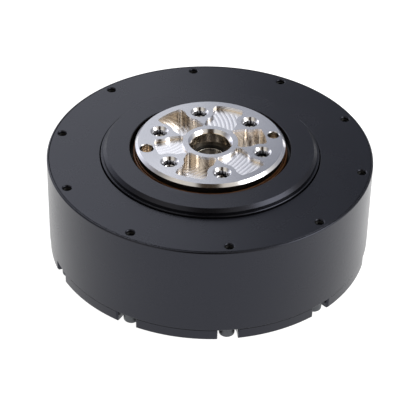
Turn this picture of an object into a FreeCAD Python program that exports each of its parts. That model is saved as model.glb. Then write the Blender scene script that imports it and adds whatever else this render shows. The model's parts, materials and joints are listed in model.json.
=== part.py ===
import FreeCAD
import Part
import math
import os

# Robot joint actuator: a frameless inrunner motor drives a three-planet gear
# stage that sits inside the rotor, and the planet carrier is the output flange.
# Millimetres. The origin is the centre of the back face and +Z points at the output.

# ---- fits -------------------------------------------------------------------
PRESS_GAP = 0.01        # radial gap left between pressed or screwed-in pieces
RUNNING_GAP = 0.04      # radial gap of plain bearings and of the seal lip
SLIP_GAP = 0.1          # radial gap of spigots that are put together by hand

# ---- screws: radius of thread, head and hole ----------------------------------
M25_RADIUS = 1.25
M3_RADIUS = 1.5
M4_RADIUS = 2.0
M4_TAP_RADIUS = 1.65
M4_CLEARANCE_RADIUS = 2.15
M5_TAP_RADIUS = 2.1
M5_CHAMFER = 1.1
M5_DEPTH = 12.0
M3_CLEARANCE = 0.15
M3_HEAD_RADIUS = 2.84
M3_HEAD_HEIGHT = 3.0
PAN_HEAD_FLARE = 0.95
PAN_HEAD_HEIGHT = 1.4
COUNTERSINK_FLARE = 1.3     # how far a countersunk head stands out from its thread
COUNTERSINK_EDGE = 0.3      # straight edge of a countersunk head

# ---- gear stage: everything round it follows from these -------------------------
MODULE = 1.0
PRESSURE_ANGLE = 25.0
SUN_TEETH = 12
PLANET_TEETH = 21
RING_TEETH = SUN_TEETH + 2 * PLANET_TEETH
PLANET_COUNT = 3
ADDENDUM = 0.8              # in modules
DEDENDUM = 1.0              # in modules
BACKLASH = 0.07             # taken off each tooth's thickness
RING_GEAR_WALL = 4.5
PLANET_WIDTH = 8.0
SUN_FACE_EXTRA = 0.2
END_PLAY = 0.1
WASHER_THICKNESS = 0.5
WASHER_WIDTH = 3.0
PIN_RADIUS = 3.0
PIN_DEPTH = 4.0             # how deep a pin sits in the output flange
BUSH_WALL = 1.45
CARRIER_PLATE = 2.8
CARRIER_STEP = 1.0          # the carrier behind the bearing is this much smaller
LEG_CLEARANCE = 0.6
LEG_SCREW_INSET = 5.0
LEG_SCREW_LENGTH = 10.0
RING_GEAR_EXTRA = 1.0       # the ring gear reaches this far behind the planets
RING_GEAR_LIP = 2.6
RING_GEAR_RELIEF = 0.8
DOWEL_RADIUS = 1.5
DOWEL_LENGTH = 7.0
SNAP_RING_THICKNESS = 1.2
SNAP_RING_GROOVE = 1.0
SNAP_RING_WIDTH = 2.6
SNAP_RING_GAP_ANGLE = 24.0

# ---- output bearing (crossed rollers) and seal -----------------------------------
BEARING_SECTION = 7.5
BEARING_WIDTH = 7.0
ROLLER_COUNT = 20
ROLLER_RADIUS = 1.7
ROLLER_GAP = 0.04
SPACER_RADIUS = 1.45
SPACER_FILL = 0.85          # share of the room between two rollers
RING_OPEN_GAP = 0.4
SEAL_BACK_GAP = 0.3
SEAL_HEIGHT = 3.4
SEAL_LIP = 1.3
SEAL_LIP_WIDTH = 0.9
SEAL_CHANNEL = 1.2          # open channel between the lip and the raised ring
SEAL_NECK = 1.4             # open width behind the lip

# ---- gearbox housing -----------------------------------------------------------
TUBE_WALL = 4.0
TUBE_TAIL = 2.0             # tube behind the snap ring
RING_LIP = 1.8              # lip of the raised ring in front of the seal
RING_HEIGHT = 2.8           # raised ring above the front cover
RING_WALL = 2.8             # raised ring outside the tube
RING_CHAMFER = 1.2
LEDGE_WIDTH = 0.9
LEDGE_HEIGHT = 0.7
EDGE_BREAK = 0.2
HOUSING_FLANGE = 2.5
HOUSING_FLANGE_WIDTH = 6.0
HOUSING_SCREW_COUNT = 6
HOUSING_SCREW_INSET = 2.7
HOUSING_SCREW_LENGTH = 6.0

# ---- motor ------------------------------------------------------------------------
ROTOR_CLEARANCE = 0.9       # gearbox tube to rotor
ROTOR_WALL = 2.6
MAGNET_THICKNESS = 1.8
AIR_GAP = 0.6
TOOTH_COUNT = 24
POLE_COUNT = 28
TOOTH_LENGTH = 7.1
TOOTH_WIDTH = 4.4
TOOTH_TIP_WIDTH = 8.6
TOOTH_TIP_DEPTH = 1.1
STATOR_YOKE = 3.8
COIL_BUILD = 2.0            # thickness of the winding beside a tooth
COIL_OVERHANG = 2.6
COIL_GAP = 0.1
COIL_BACK_GAP = 0.9
COIL_FRONT_GAP = 0.8
COIL_END_GAPS = (0.5, 0.6)  # winding to tooth tip, winding to yoke
MAGNET_EXTRA = 1.2          # magnets are longer than the core
MAGNET_FILL = 0.86          # share of the pole pitch that a magnet covers
ROTOR_RIM_EXTRA = 1.2
ROTOR_WEB = 2.2
ROTOR_WEB_GAP = 1.95
ROTOR_WINDOW_COUNT = 6
ROTOR_WINDOW_MARGIN = 3.0
HUB_FLANGE_WIDTH = 6.0
HUB_FLANGE = 2.3
HUB_PILOT_GAP = 1.1
HUB_PILOT_WALL = 0.6
HUB_PILOT_HEIGHT = 1.2
HUB_SHOULDER = 1.2
HUB_BORE_RADIUS = 4.0
HUB_SCREW_COUNT = 6
HUB_FIRST_SCREW_ANGLE = 30.0
HUB_END_GAP = 0.1
CARRIER_HUB_GAP = 1.6
ENCODER_MAGNET_HEIGHT = 2.0

# ---- rotor bearing -------------------------------------------------------------------
ROTOR_BEARING_BORE = 7.5
ROTOR_BEARING_SECTION = 4.5
ROTOR_BEARING_WIDTH = 5.0
ROTOR_BEARING_STANDOUT = 0.3
ROTOR_BALL_RADIUS = 1.5
ROTOR_BALL_COUNT = 11
RACE_GAP = 0.03
RACE_SHOULDER = 0.55        # half the open gap between the rings
BEARING_LIP = 0.5
BEARING_LIP_WIDTH = 1.2
BOSS_WALL = 2.5

# ---- shell and covers ------------------------------------------------------------------
SHELL_WALL = 6.7
BULKHEAD_THICKNESS = 2.0
STANDOFF_HEIGHT = 1.4
STANDOFF_RADIUS = 3.2
EDGE_CHAMFER = 0.4
RIM_LAND = 0.75             # thin rim of the shell round the front cover
COVER_THICKNESS = 5.0
COVER_FLANGE = 4.0          # thickness of the cover where it lies on the shell
COVER_GROOVE = 0.3          # open joint round the gearbox housing
COVER_EDGE = 0.15
REAR_COVER_HEIGHT = 4.2
REAR_COVER_INSET = 0.2      # the rear cover is this much smaller in radius
REAR_COVER_FLOOR = 2.0
REAR_CAVITY_INSET = 3.3
RIM_SCREW_COUNT = 10
RIM_SCREW_INSET = 3.8
RIM_FIRST_ANGLE = 90.0
RIM_SCREW_SETBACK = 1.8     # tip to the face of the front cover
RIM_HOLE_CHAMFER = 0.35
SPRING_WASHER = 1.15
SLOT_RADIUS = 3.62          # half width of the U slots in the rear cover
SLOT_CORNER = 0.8           # rounding of the slots at the outer wall
REAR_PATTERN_COUNT = 5
REAR_MOUNT_DEPTH = 10.0
COVER_SCREW_LENGTH = 9.0

# ---- driver board ---------------------------------------------------------------
BOARD_COVER_GAP = 0.2
BOARD_THICKNESS = 1.6
BOARD_INSET = 5.3
BOARD_SCREW_COUNT = 5
BOARD_SCREW_INSET = 5.0
BOARD_SCREW_ANGLE = 18.0
LEAD_RADIUS = 0.9
LEAD_INSET = 7.0
LEAD_ANGLE = 240.0
CONNECTOR_BACK = 0.6        # how far the sockets stay inside the back face
CONNECTOR_CLEARANCE = 0.4
CONNECTOR_WALL = 1.0
CONTACT_SHARE = 0.35        # contact width as a share of the contact pitch
CONTACT_SETBACK = 0.4
POWER_SOCKET = (17.0, 8.0)
SIGNAL_SOCKET = (8.5, 5.0)
SOCKET_INSET = 14.0
SOCKET_SPACING = 4.75
TRANSISTOR_SIZE = (6.0, 5.0, 1.0)
TRANSISTOR_INSETS = (10.0, 18.0)
TRANSISTOR_ANGLES = (195.0, 255.0, 315.0)
CONTROLLER_SIZE = (10.0, 10.0, 1.2)
CONTROLLER_Y = 12.0
CAPACITOR_SIZE = (4.5, 3.2, 1.9)
CAPACITOR_INSET = 20.0
CAPACITOR_ANGLES = (-10.0, 15.0, 40.0)
ENCODER_CHIP_SIZE = (4.0, 5.0, 0.8)

# ---- output flange ----------------------------------------------------------------
FLANGE_STANDOUT = 2.1       # output face above the raised ring
FLANGE_STEP = 2.55          # shoulder in front of the bearing
FLANGE_GAP = 2.05           # flange to raised ring
FLANGE_CHAMFER = 1.0
FLANGE_REST_ANGLE = 5.2     # direction of the dowel holes at rest
FLANGE_SCREW_COUNT = 6
FLANGE_SCREW_INSET = 7.75
DOWEL_HOLE_INSET = 3.85
DOWEL_HOLE_RADII = (2.1, 2.5)
DOWEL_HOLE_DEPTH = 7.0
DOWEL_HOLE_CHAMFER = 0.2
PILOT_RADIUS = 7.0
PILOT_CHAMFER = 1.2
PILOT_DEPTH = 5.6
POCKET_HUB = 3.2            # metal left between the pilot bore and a pocket
POCKET_INSET = 3.65
SHORT_POCKET_INSET = 6.95
POCKET_HALF_WIDTH = 5.7
POCKET_BOSS_WALL = 3.1
DEEP_POCKET = 5.0
SHALLOW_POCKET = 1.5
POCKET_CORNER = 1.2
SUN_JOURNAL_WALL = 2.0      # bush in the pilot bore
SUN_JOURNAL_SETBACK = 3.4
BUSH_END_GAP = 0.4
CIRCLIP_THICKNESS = 1.0
CIRCLIP_GROOVE = 0.4
CIRCLIP_WIDTH = 1.5
CIRCLIP_OPENING_ANGLE = 270.0

# ---- radii, from the gears outwards -------------------------------------------------
COUNTERSINK_HEIGHT = COUNTERSINK_EDGE + COUNTERSINK_FLARE
CENTRE_DISTANCE = MODULE * (SUN_TEETH + PLANET_TEETH) / 2
PLANET_TIP = MODULE * (PLANET_TEETH / 2 + ADDENDUM)
PLANET_ROOT = MODULE * (PLANET_TEETH / 2 - DEDENDUM)
SUN_TIP = MODULE * (SUN_TEETH / 2 + ADDENDUM)
SUN_ROOT = MODULE * (SUN_TEETH / 2 - DEDENDUM)
RING_GEAR_ROOT = MODULE * (RING_TEETH / 2 + DEDENDUM)
TUBE_BORE_RADIUS = RING_GEAR_ROOT + RING_GEAR_WALL
BEARING_BORE_RADIUS = TUBE_BORE_RADIUS - BEARING_SECTION
ROLLER_CIRCLE = BEARING_BORE_RADIUS + BEARING_SECTION / 2
CARRIER_RADIUS = BEARING_BORE_RADIUS - CARRIER_STEP
CARRIER_BORE = SUN_TIP + 2 * CARRIER_STEP * 0.4
LEG_INNER_RADIUS = (CENTRE_DISTANCE + SUN_TIP) / 2
LEG_SCREW_CIRCLE = CARRIER_RADIUS - LEG_SCREW_INSET
WASHER_RADIUS = PIN_RADIUS + WASHER_WIDTH
FLANGE_RADIUS = BEARING_BORE_RADIUS + FLANGE_STEP
FLANGE_SCREW_CIRCLE = FLANGE_RADIUS - FLANGE_SCREW_INSET
DOWEL_HOLE_CIRCLE = FLANGE_RADIUS - DOWEL_HOLE_INSET
POCKET_INNER_RADIUS = PILOT_RADIUS + POCKET_HUB
POCKET_OUTER_RADIUS = FLANGE_RADIUS - POCKET_INSET
SHORT_POCKET_OUTER_RADIUS = FLANGE_RADIUS - SHORT_POCKET_INSET
POCKET_BOSS_RADIUS = M5_TAP_RADIUS + POCKET_BOSS_WALL
SUN_JOURNAL_RADIUS = PILOT_RADIUS - SUN_JOURNAL_WALL
RING_BORE_RADIUS = FLANGE_RADIUS + FLANGE_GAP
TUBE_RADIUS = TUBE_BORE_RADIUS + TUBE_WALL
RING_RADIUS = TUBE_RADIUS + RING_WALL
LEDGE_RADIUS = RING_RADIUS + LEDGE_WIDTH
COVER_OPENING_RADIUS = LEDGE_RADIUS + COVER_GROOVE
HOUSING_FLANGE_RADIUS = COVER_OPENING_RADIUS + HOUSING_FLANGE_WIDTH
HOUSING_SCREW_CIRCLE = COVER_OPENING_RADIUS + HOUSING_SCREW_INSET
ROTOR_INNER = TUBE_RADIUS + ROTOR_CLEARANCE
MAGNET_INNER = ROTOR_INNER + ROTOR_WALL
MAGNET_OUTER = MAGNET_INNER + MAGNET_THICKNESS
STATOR_BORE_RADIUS = MAGNET_OUTER + AIR_GAP
SHELL_BORE_RADIUS = STATOR_BORE_RADIUS + TOOTH_LENGTH + STATOR_YOKE
HOUSING_RADIUS = SHELL_BORE_RADIUS + SHELL_WALL
RIM_SCREW_CIRCLE = HOUSING_RADIUS - RIM_SCREW_INSET
REBATE_RADIUS = HOUSING_RADIUS - RIM_LAND
REAR_CAVITY_RADIUS = SHELL_BORE_RADIUS - REAR_CAVITY_INSET
BOARD_RADIUS = SHELL_BORE_RADIUS - BOARD_INSET
BOARD_SCREW_CIRCLE = BOARD_RADIUS - BOARD_SCREW_INSET
LEAD_CIRCLE = SHELL_BORE_RADIUS - LEAD_INSET
SOCKET_Y = BOARD_RADIUS - SOCKET_INSET
SIGNAL_X = (POWER_SOCKET[0] + SIGNAL_SOCKET[0]) / 2 + SOCKET_SPACING
ROTOR_BEARING_OUTER = ROTOR_BEARING_BORE + ROTOR_BEARING_SECTION
ROTOR_BALL_CIRCLE = ROTOR_BEARING_BORE + ROTOR_BEARING_SECTION / 2
BEARING_LIP_RADIUS = ROTOR_BEARING_OUTER - BEARING_LIP_WIDTH
BOSS_RADIUS = ROTOR_BEARING_OUTER + BOSS_WALL
HUB_PILOT_RADIUS = BOSS_RADIUS + HUB_PILOT_GAP
HUB_FLANGE_RADIUS = HUB_PILOT_RADIUS + HUB_FLANGE_WIDTH
HUB_SCREW_CIRCLE = HUB_PILOT_RADIUS + HUB_FLANGE_WIDTH / 2
ROTOR_WINDOW_CIRCLE = (HUB_FLANGE_RADIUS + ROTOR_INNER) / 2
ROTOR_WINDOW_RADIUS = (ROTOR_INNER - HUB_FLANGE_RADIUS) / 2 - ROTOR_WINDOW_MARGIN

# ---- heights, from the back face forwards ----------------------------------------------
BOARD_BACK = REAR_COVER_HEIGHT + BOARD_COVER_GAP
BOARD_FRONT = BOARD_BACK + BOARD_THICKNESS
BULKHEAD_BACK = BOARD_FRONT + STANDOFF_HEIGHT
BULKHEAD_FRONT = BULKHEAD_BACK + BULKHEAD_THICKNESS
ROTOR_BEARING_BACK = BULKHEAD_BACK + BEARING_LIP
ROTOR_BEARING_FRONT = ROTOR_BEARING_BACK + ROTOR_BEARING_WIDTH
ROTOR_BACK = BULKHEAD_FRONT + ROTOR_WEB_GAP
ROTOR_WEB_FRONT = ROTOR_BACK + ROTOR_WEB
HUB_BACK = ROTOR_BEARING_BACK - HUB_END_GAP
HUB_FRONT = ROTOR_WEB_FRONT + HUB_FLANGE
CARRIER_PLATE_BACK = HUB_FRONT + CARRIER_HUB_GAP
CARRIER_PLATE_FRONT = CARRIER_PLATE_BACK + CARRIER_PLATE
PLANET_BACK = CARRIER_PLATE_FRONT + WASHER_THICKNESS + END_PLAY
PLANET_FRONT = PLANET_BACK + PLANET_WIDTH
CARRIER_FACE = PLANET_FRONT + END_PLAY + WASHER_THICKNESS
RING_GEAR_BACK = PLANET_BACK - RING_GEAR_EXTRA
RING_GEAR_FRONT = CARRIER_FACE
TUBE_BACK = RING_GEAR_BACK - SNAP_RING_THICKNESS - TUBE_TAIL
ROLLER_MIDDLE = CARRIER_FACE + BEARING_WIDTH / 2
FLANGE_SHOULDER = CARRIER_FACE + BEARING_WIDTH
SEAL_FRONT = FLANGE_SHOULDER + SEAL_BACK_GAP + SEAL_HEIGHT
RING_TOP = SEAL_FRONT + RING_LIP
FLANGE_TOP = RING_TOP + FLANGE_STANDOUT
BODY_HEIGHT = RING_TOP - RING_HEIGHT
COVER_SEAT = BODY_HEIGHT - COVER_FLANGE
COVER_BACK = BODY_HEIGHT - COVER_THICKNESS
HOUSING_FLANGE_BACK = COVER_BACK - HOUSING_FLANGE
STATOR_BACK = ROTOR_WEB_FRONT + COIL_BACK_GAP + COIL_OVERHANG
STATOR_FRONT = HOUSING_FLANGE_BACK - COIL_FRONT_GAP - COIL_OVERHANG
ROTOR_FRONT = STATOR_FRONT + ROTOR_RIM_EXTRA
CIRCLIP_FRONT = FLANGE_TOP - PILOT_DEPTH
BUSH_FRONT = CIRCLIP_FRONT - CIRCLIP_THICKNESS
SUN_JOURNAL_TOP = BUSH_FRONT - SUN_JOURNAL_SETBACK

# ---- directions at rest ------------------------------------------------------------------
RIM_STEP = 360.0 / RIM_SCREW_COUNT
FIRST_PLANET_ANGLE = FLANGE_REST_ANGLE + 60.0
FLANGE_SCREW_ANGLE = FLANGE_REST_ANGLE + 30.0

ORIGIN = FreeCAD.Vector(0, 0, 0)
AXIS = FreeCAD.Vector(0, 0, 1)


# ---- helpers ---------------------------------------------------------------------
def rod(radius, bottom, top):
    """A cylinder on the main axis."""
    return Part.makeCylinder(radius, top - bottom, FreeCAD.Vector(0, 0, bottom))


def ring(outer, inner, bottom, top):
    """A plain ring on the main axis."""
    return rod(outer, bottom, top).cut(rod(inner, bottom - 1, top + 1))


def revolved(profile):
    """A closed outline of (radius, height) points turned round the main axis."""
    points = [FreeCAD.Vector(r, 0, z) for r, z in profile]
    face = Part.Face(Part.makePolygon(points + points[:1]))
    return face.revolve(ORIGIN, AXIS, 360)


def placed(shape, radius, angle):
    """Shape moved out along X and then turned about the main axis."""
    copy = shape.copy()
    copy.translate(FreeCAD.Vector(radius, 0, 0))
    copy.rotate(ORIGIN, AXIS, angle)
    return copy


def around(shape, radius, count, first):
    """Copies of shape spread evenly on a circle."""
    step = 360.0 / count
    return [placed(shape, radius, first + step * i) for i in range(count)]


def block(size_x, size_y, bottom, top, x=0.0, y=0.0):
    """A box centred on x, y."""
    corner = FreeCAD.Vector(x - size_x / 2, y - size_y / 2, bottom)
    return Part.makeBox(size_x, size_y, top - bottom, corner)


def chamfered_hole(radius, mouth, floor, chamfer):
    """Tool for a blind hole whose mouth, at the top, is chamfered."""
    return revolved([
        (0, floor), (radius, floor), (radius, mouth - chamfer),
        (radius + chamfer, mouth), (radius + chamfer, mouth + 1), (0, mouth + 1),
    ])


def cap_screw(radius, length, head_radius, head_height):
    """Cap screw that points up, with its head under z = 0 and a hexagon socket."""
    edge = 0.15 * head_radius
    body = revolved([
        (0, -head_height), (head_radius - edge, -head_height),
        (head_radius, edge - head_height), (head_radius, 0),
        (radius, 0), (radius, length), (0, length),
    ])
    socket_radius = head_radius * 0.52
    corners = []
    for i in range(6):
        turn = math.radians(60 * i)
        corners.append(FreeCAD.Vector(socket_radius * math.cos(turn),
                                      socket_radius * math.sin(turn), -head_height))
    hexagon = Part.Face(Part.makePolygon(corners + corners[:1]))
    return body.cut(hexagon.extrude(FreeCAD.Vector(0, 0, head_height / 2)))


def countersunk_screw(radius, length):
    """Countersunk screw that points up, flush with z = 0."""
    return revolved([
        (0, 0), (radius + COUNTERSINK_FLARE, 0), (radius + COUNTERSINK_FLARE, COUNTERSINK_EDGE),
        (radius, COUNTERSINK_HEIGHT), (radius, length), (0, length),
    ])


def countersunk_hole(radius, depth):
    """Tool for the hole of a countersunk screw, open below z = 0."""
    flare = radius + COUNTERSINK_FLARE
    return revolved([
        (0, -1), (flare, -1), (flare, COUNTERSINK_EDGE), (radius, COUNTERSINK_HEIGHT),
        (radius, depth), (0, depth),
    ])


def lifted(shape, height):
    """A copy of shape moved up."""
    copy = shape.copy()
    copy.translate(FreeCAD.Vector(0, 0, height))
    return copy


def polar(radius, angle, height=0.0):
    """Point at an angle in radians."""
    return FreeCAD.Vector(radius * math.cos(angle), radius * math.sin(angle), height)


# ---- gears -------------------------------------------------------------------------
def involute(angle):
    """Involute function of an angle in radians."""
    return math.tan(angle) - angle


def gear_outline(teeth, root, tip, thickness, phase):
    """Closed wire of an involute gear; thickness is the tooth's on the pitch circle."""
    pressure = math.radians(PRESSURE_ANGLE)
    pitch_radius = MODULE * teeth / 2
    base_radius = pitch_radius * math.cos(pressure)
    half_on_pitch = thickness / (2 * pitch_radius)

    def half_angle(radius):
        """Half of the tooth's angle at a radius."""
        local = math.acos(min(1.0, base_radius / radius))
        return half_on_pitch + involute(pressure) - involute(local)

    start = max(root, base_radius)
    middle = (start + tip) / 2
    pitch_angle = 2 * math.pi / teeth
    edges = []
    for i in range(teeth):
        centre = math.radians(phase) + i * pitch_angle
        foot = half_angle(start)
        low_left = polar(root, centre - foot)
        if start > root:
            edges.append(Part.LineSegment(low_left, polar(start, centre - foot)))
        edges.append(Part.Arc(polar(start, centre - foot),
                              polar(middle, centre - half_angle(middle)),
                              polar(tip, centre - half_angle(tip))))
        edges.append(Part.Arc(polar(tip, centre - half_angle(tip)), polar(tip, centre),
                              polar(tip, centre + half_angle(tip))))
        edges.append(Part.Arc(polar(tip, centre + half_angle(tip)),
                              polar(middle, centre + half_angle(middle)),
                              polar(start, centre + foot)))
        if start > root:
            edges.append(Part.LineSegment(polar(start, centre + foot),
                                          polar(root, centre + foot)))
        edges.append(Part.Arc(polar(root, centre + foot),
                              polar(root, centre + pitch_angle / 2),
                              polar(root, centre + pitch_angle - foot)))
    return Part.Wire([edge.toShape() for edge in edges])


def gear(teeth, root, tip, thickness, phase, bottom, top):
    """Straight spur gear on the main axis."""
    solid = Part.Face(gear_outline(teeth, root, tip, thickness, phase))
    solid = solid.extrude(FreeCAD.Vector(0, 0, top - bottom))
    return lifted(solid, bottom)


HALF_PITCH = math.pi * MODULE / 2
SUN_PHASE = FIRST_PLANET_ANGLE


def planet_phase(angle):
    """Direction of a planet tooth that puts it in mesh with the sun gear."""
    teeth_passed = (angle - SUN_PHASE) * SUN_TEETH / 360.0
    return angle + 180.0 + 360.0 / PLANET_TEETH * (teeth_passed - 0.5)


def ring_gear_phase():
    """Direction of a ring-gear space that takes a tooth of the first planet."""
    offset = (FIRST_PLANET_ANGLE - planet_phase(FIRST_PLANET_ANGLE)) * PLANET_TEETH / 360.0
    return FIRST_PLANET_ANGLE - 360.0 / RING_TEETH * offset


# ---- housing pieces -----------------------------------------------------------------
def rear_pattern(first_index):
    """Angles of every second place half way between the rim screws."""
    start = RIM_FIRST_ANGLE + RIM_STEP * (first_index + 0.5)
    return [start + 2 * RIM_STEP * i for i in range(REAR_PATTERN_COUNT)]


def rear_slot(cover_radius):
    """Tool for a U slot round a screw head, open and rounded at the outer wall."""
    top = REAR_COVER_HEIGHT + 1
    half_mouth = SLOT_RADIUS + SLOT_CORNER
    wall = math.sqrt(cover_radius ** 2 - half_mouth ** 2) - RIM_SCREW_CIRCLE
    mouth = block(2 * SLOT_CORNER, 2 * half_mouth, -1, top, x=wall)
    for side in (-half_mouth, half_mouth):
        corner = rod(SLOT_CORNER, -2, top + 1)
        corner.translate(FreeCAD.Vector(wall - SLOT_CORNER, side, 0))
        mouth = mouth.cut(corner)
    slot = rod(SLOT_RADIUS, -1, top)
    return slot.fuse([block(2 * SLOT_RADIUS, 2 * SLOT_RADIUS, -1, top, x=SLOT_RADIUS), mouth])


def make_rear_cover():
    """Black back plate with U slots at its rim and windows for the sockets."""
    radius = HOUSING_RADIUS - REAR_COVER_INSET
    body = revolved([
        (0, 0), (radius - EDGE_CHAMFER, 0), (radius, EDGE_CHAMFER),
        (radius, REAR_COVER_HEIGHT), (REAR_CAVITY_RADIUS, REAR_COVER_HEIGHT),
        (REAR_CAVITY_RADIUS, REAR_COVER_FLOOR), (0, REAR_COVER_FLOOR),
    ])
    tools = around(rear_slot(radius), RIM_SCREW_CIRCLE, RIM_SCREW_COUNT, RIM_FIRST_ANGLE)
    screw_hole = countersunk_hole(M3_RADIUS + PRESS_GAP, REAR_COVER_HEIGHT + 1)
    tools += [placed(screw_hole, RIM_SCREW_CIRCLE, a) for a in rear_pattern(0)]
    mount_hole = rod(M4_CLEARANCE_RADIUS, -1, REAR_COVER_HEIGHT + 1)
    tools += [placed(mount_hole, RIM_SCREW_CIRCLE, a) for a in rear_pattern(1)]
    for size, x in socket_places():
        tools.append(block(size[0] + 2 * CONNECTOR_CLEARANCE,
                           size[1] + 2 * CONNECTOR_CLEARANCE,
                           -1, REAR_COVER_FLOOR + 1, x, SOCKET_Y))
    return body.cut(tools)


def socket_places():
    """Size and x of each socket on the driver board."""
    return [(POWER_SOCKET, 0.0), (SIGNAL_SOCKET, -SIGNAL_X), (SIGNAL_SOCKET, SIGNAL_X)]


def make_shell():
    """Side wall with the bulkhead and the rotor bearing's boss in one piece."""
    bearing_mouth = ROTOR_BEARING_FRONT - ROTOR_BEARING_STANDOUT
    body = revolved([
        (HOUSING_RADIUS - EDGE_CHAMFER, REAR_COVER_HEIGHT),
        (HOUSING_RADIUS, REAR_COVER_HEIGHT + EDGE_CHAMFER),
        (HOUSING_RADIUS, BODY_HEIGHT - EDGE_CHAMFER),
        (HOUSING_RADIUS - EDGE_CHAMFER, BODY_HEIGHT),
        (REBATE_RADIUS, BODY_HEIGHT), (REBATE_RADIUS, COVER_SEAT),
        (SHELL_BORE_RADIUS, COVER_SEAT), (SHELL_BORE_RADIUS, BULKHEAD_FRONT),
        (BOSS_RADIUS, BULKHEAD_FRONT), (BOSS_RADIUS, bearing_mouth),
        (ROTOR_BEARING_OUTER, bearing_mouth),
        (ROTOR_BEARING_OUTER, ROTOR_BEARING_BACK),
        (BEARING_LIP_RADIUS, ROTOR_BEARING_BACK), (BEARING_LIP_RADIUS, BULKHEAD_BACK),
        (SHELL_BORE_RADIUS, BULKHEAD_BACK), (SHELL_BORE_RADIUS, REAR_COVER_HEIGHT),
    ])
    standoff = rod(STANDOFF_RADIUS, BOARD_FRONT, BULKHEAD_BACK)
    for boss in around(standoff, BOARD_SCREW_CIRCLE, BOARD_SCREW_COUNT, BOARD_SCREW_ANGLE):
        body = body.fuse(boss)
    through = rod(M3_RADIUS + M3_CLEARANCE, 0, BODY_HEIGHT)
    tools = around(through, RIM_SCREW_CIRCLE, RIM_SCREW_COUNT, RIM_FIRST_ANGLE)
    board_hole = rod(M25_RADIUS + PRESS_GAP, BOARD_BACK, BULKHEAD_FRONT - 0.5)
    tools += around(board_hole, BOARD_SCREW_CIRCLE, BOARD_SCREW_COUNT, BOARD_SCREW_ANGLE)
    cover_hole = rod(M3_RADIUS + PRESS_GAP, 0, COVER_SCREW_LENGTH + 1)
    tools += [placed(cover_hole, RIM_SCREW_CIRCLE, a) for a in rear_pattern(0)]
    mount_hole = rod(M4_TAP_RADIUS, 0, REAR_COVER_HEIGHT + REAR_MOUNT_DEPTH)
    tools += [placed(mount_hole, RIM_SCREW_CIRCLE, a) for a in rear_pattern(1)]
    lead_hole = rod(2 * LEAD_RADIUS, BULKHEAD_BACK - 1, BULKHEAD_FRONT + 1)
    tools += [placed(lead_hole, LEAD_CIRCLE, a) for a in lead_angles()]
    return body.cut(tools)


def lead_angles():
    """The three phase leads leave neighbouring coils."""
    coil_step = 360.0 / TOOTH_COUNT
    return [LEAD_ANGLE + coil_step * i for i in range(3)]


def make_front_cover():
    """Black annular cover, let into the rim of the shell."""
    body = revolved([
        (COVER_OPENING_RADIUS, COVER_BACK),
        (SHELL_BORE_RADIUS - SLIP_GAP, COVER_BACK), (SHELL_BORE_RADIUS - SLIP_GAP, COVER_SEAT),
        (REBATE_RADIUS - SLIP_GAP, COVER_SEAT), (REBATE_RADIUS - SLIP_GAP, BODY_HEIGHT - COVER_EDGE),
        (REBATE_RADIUS - SLIP_GAP - COVER_EDGE, BODY_HEIGHT),
        (COVER_OPENING_RADIUS + EDGE_BREAK, BODY_HEIGHT),
        (COVER_OPENING_RADIUS, BODY_HEIGHT - EDGE_BREAK),
    ])
    tapped = chamfered_hole(M3_RADIUS + PRESS_GAP, BODY_HEIGHT, COVER_BACK - 1, RIM_HOLE_CHAMFER)
    tools = around(tapped, RIM_SCREW_CIRCLE, RIM_SCREW_COUNT, RIM_FIRST_ANGLE)
    blind = rod(M3_RADIUS + PRESS_GAP, COVER_BACK - 1,
                HOUSING_FLANGE_BACK + HOUSING_SCREW_LENGTH + 0.3)
    tools += around(blind, HOUSING_SCREW_CIRCLE, HOUSING_SCREW_COUNT, RIM_FIRST_ANGLE)
    return body.cut(tools)


def make_housing_screws():
    """Long M3 screws whose heads bear on the shell through spring washers."""
    head_seat = REAR_COVER_HEIGHT - SPRING_WASHER
    length = BODY_HEIGHT - RIM_SCREW_SETBACK - head_seat
    screw = lifted(cap_screw(M3_RADIUS, length, M3_HEAD_RADIUS, M3_HEAD_HEIGHT), head_seat)
    screws = around(screw, RIM_SCREW_CIRCLE, RIM_SCREW_COUNT, RIM_FIRST_ANGLE)
    washer = ring(M3_HEAD_RADIUS, M3_RADIUS + M3_CLEARANCE, head_seat, REAR_COVER_HEIGHT)
    washers = around(washer, RIM_SCREW_CIRCLE, RIM_SCREW_COUNT, RIM_FIRST_ANGLE)
    return Part.makeCompound(screws), Part.makeCompound(washers)


def make_cover_screws():
    """Countersunk screws that hold the rear cover on the shell."""
    screw = countersunk_screw(M3_RADIUS, COVER_SCREW_LENGTH)
    return Part.makeCompound([placed(screw, RIM_SCREW_CIRCLE, a) for a in rear_pattern(0)])


# ---- electronics --------------------------------------------------------------------
def make_driver_board():
    """Round driver board, held under the bulkhead."""
    body = rod(BOARD_RADIUS, BOARD_BACK, BOARD_FRONT)
    hole = rod(M25_RADIUS + SLIP_GAP, BOARD_BACK - 1, BOARD_FRONT + 1)
    return body.cut(around(hole, BOARD_SCREW_CIRCLE, BOARD_SCREW_COUNT, BOARD_SCREW_ANGLE))


def make_board_screws():
    """Screws of the driver board."""
    length = BULKHEAD_FRONT - 0.8 - BOARD_BACK
    head = M25_RADIUS + PAN_HEAD_FLARE
    screw = revolved([
        (0, -PAN_HEAD_HEIGHT), (head, -PAN_HEAD_HEIGHT), (head, 0), (M25_RADIUS, 0),
        (M25_RADIUS, length), (0, length),
    ])
    screws = around(lifted(screw, BOARD_BACK), BOARD_SCREW_CIRCLE,
                    BOARD_SCREW_COUNT, BOARD_SCREW_ANGLE)
    return Part.makeCompound(screws)


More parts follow.
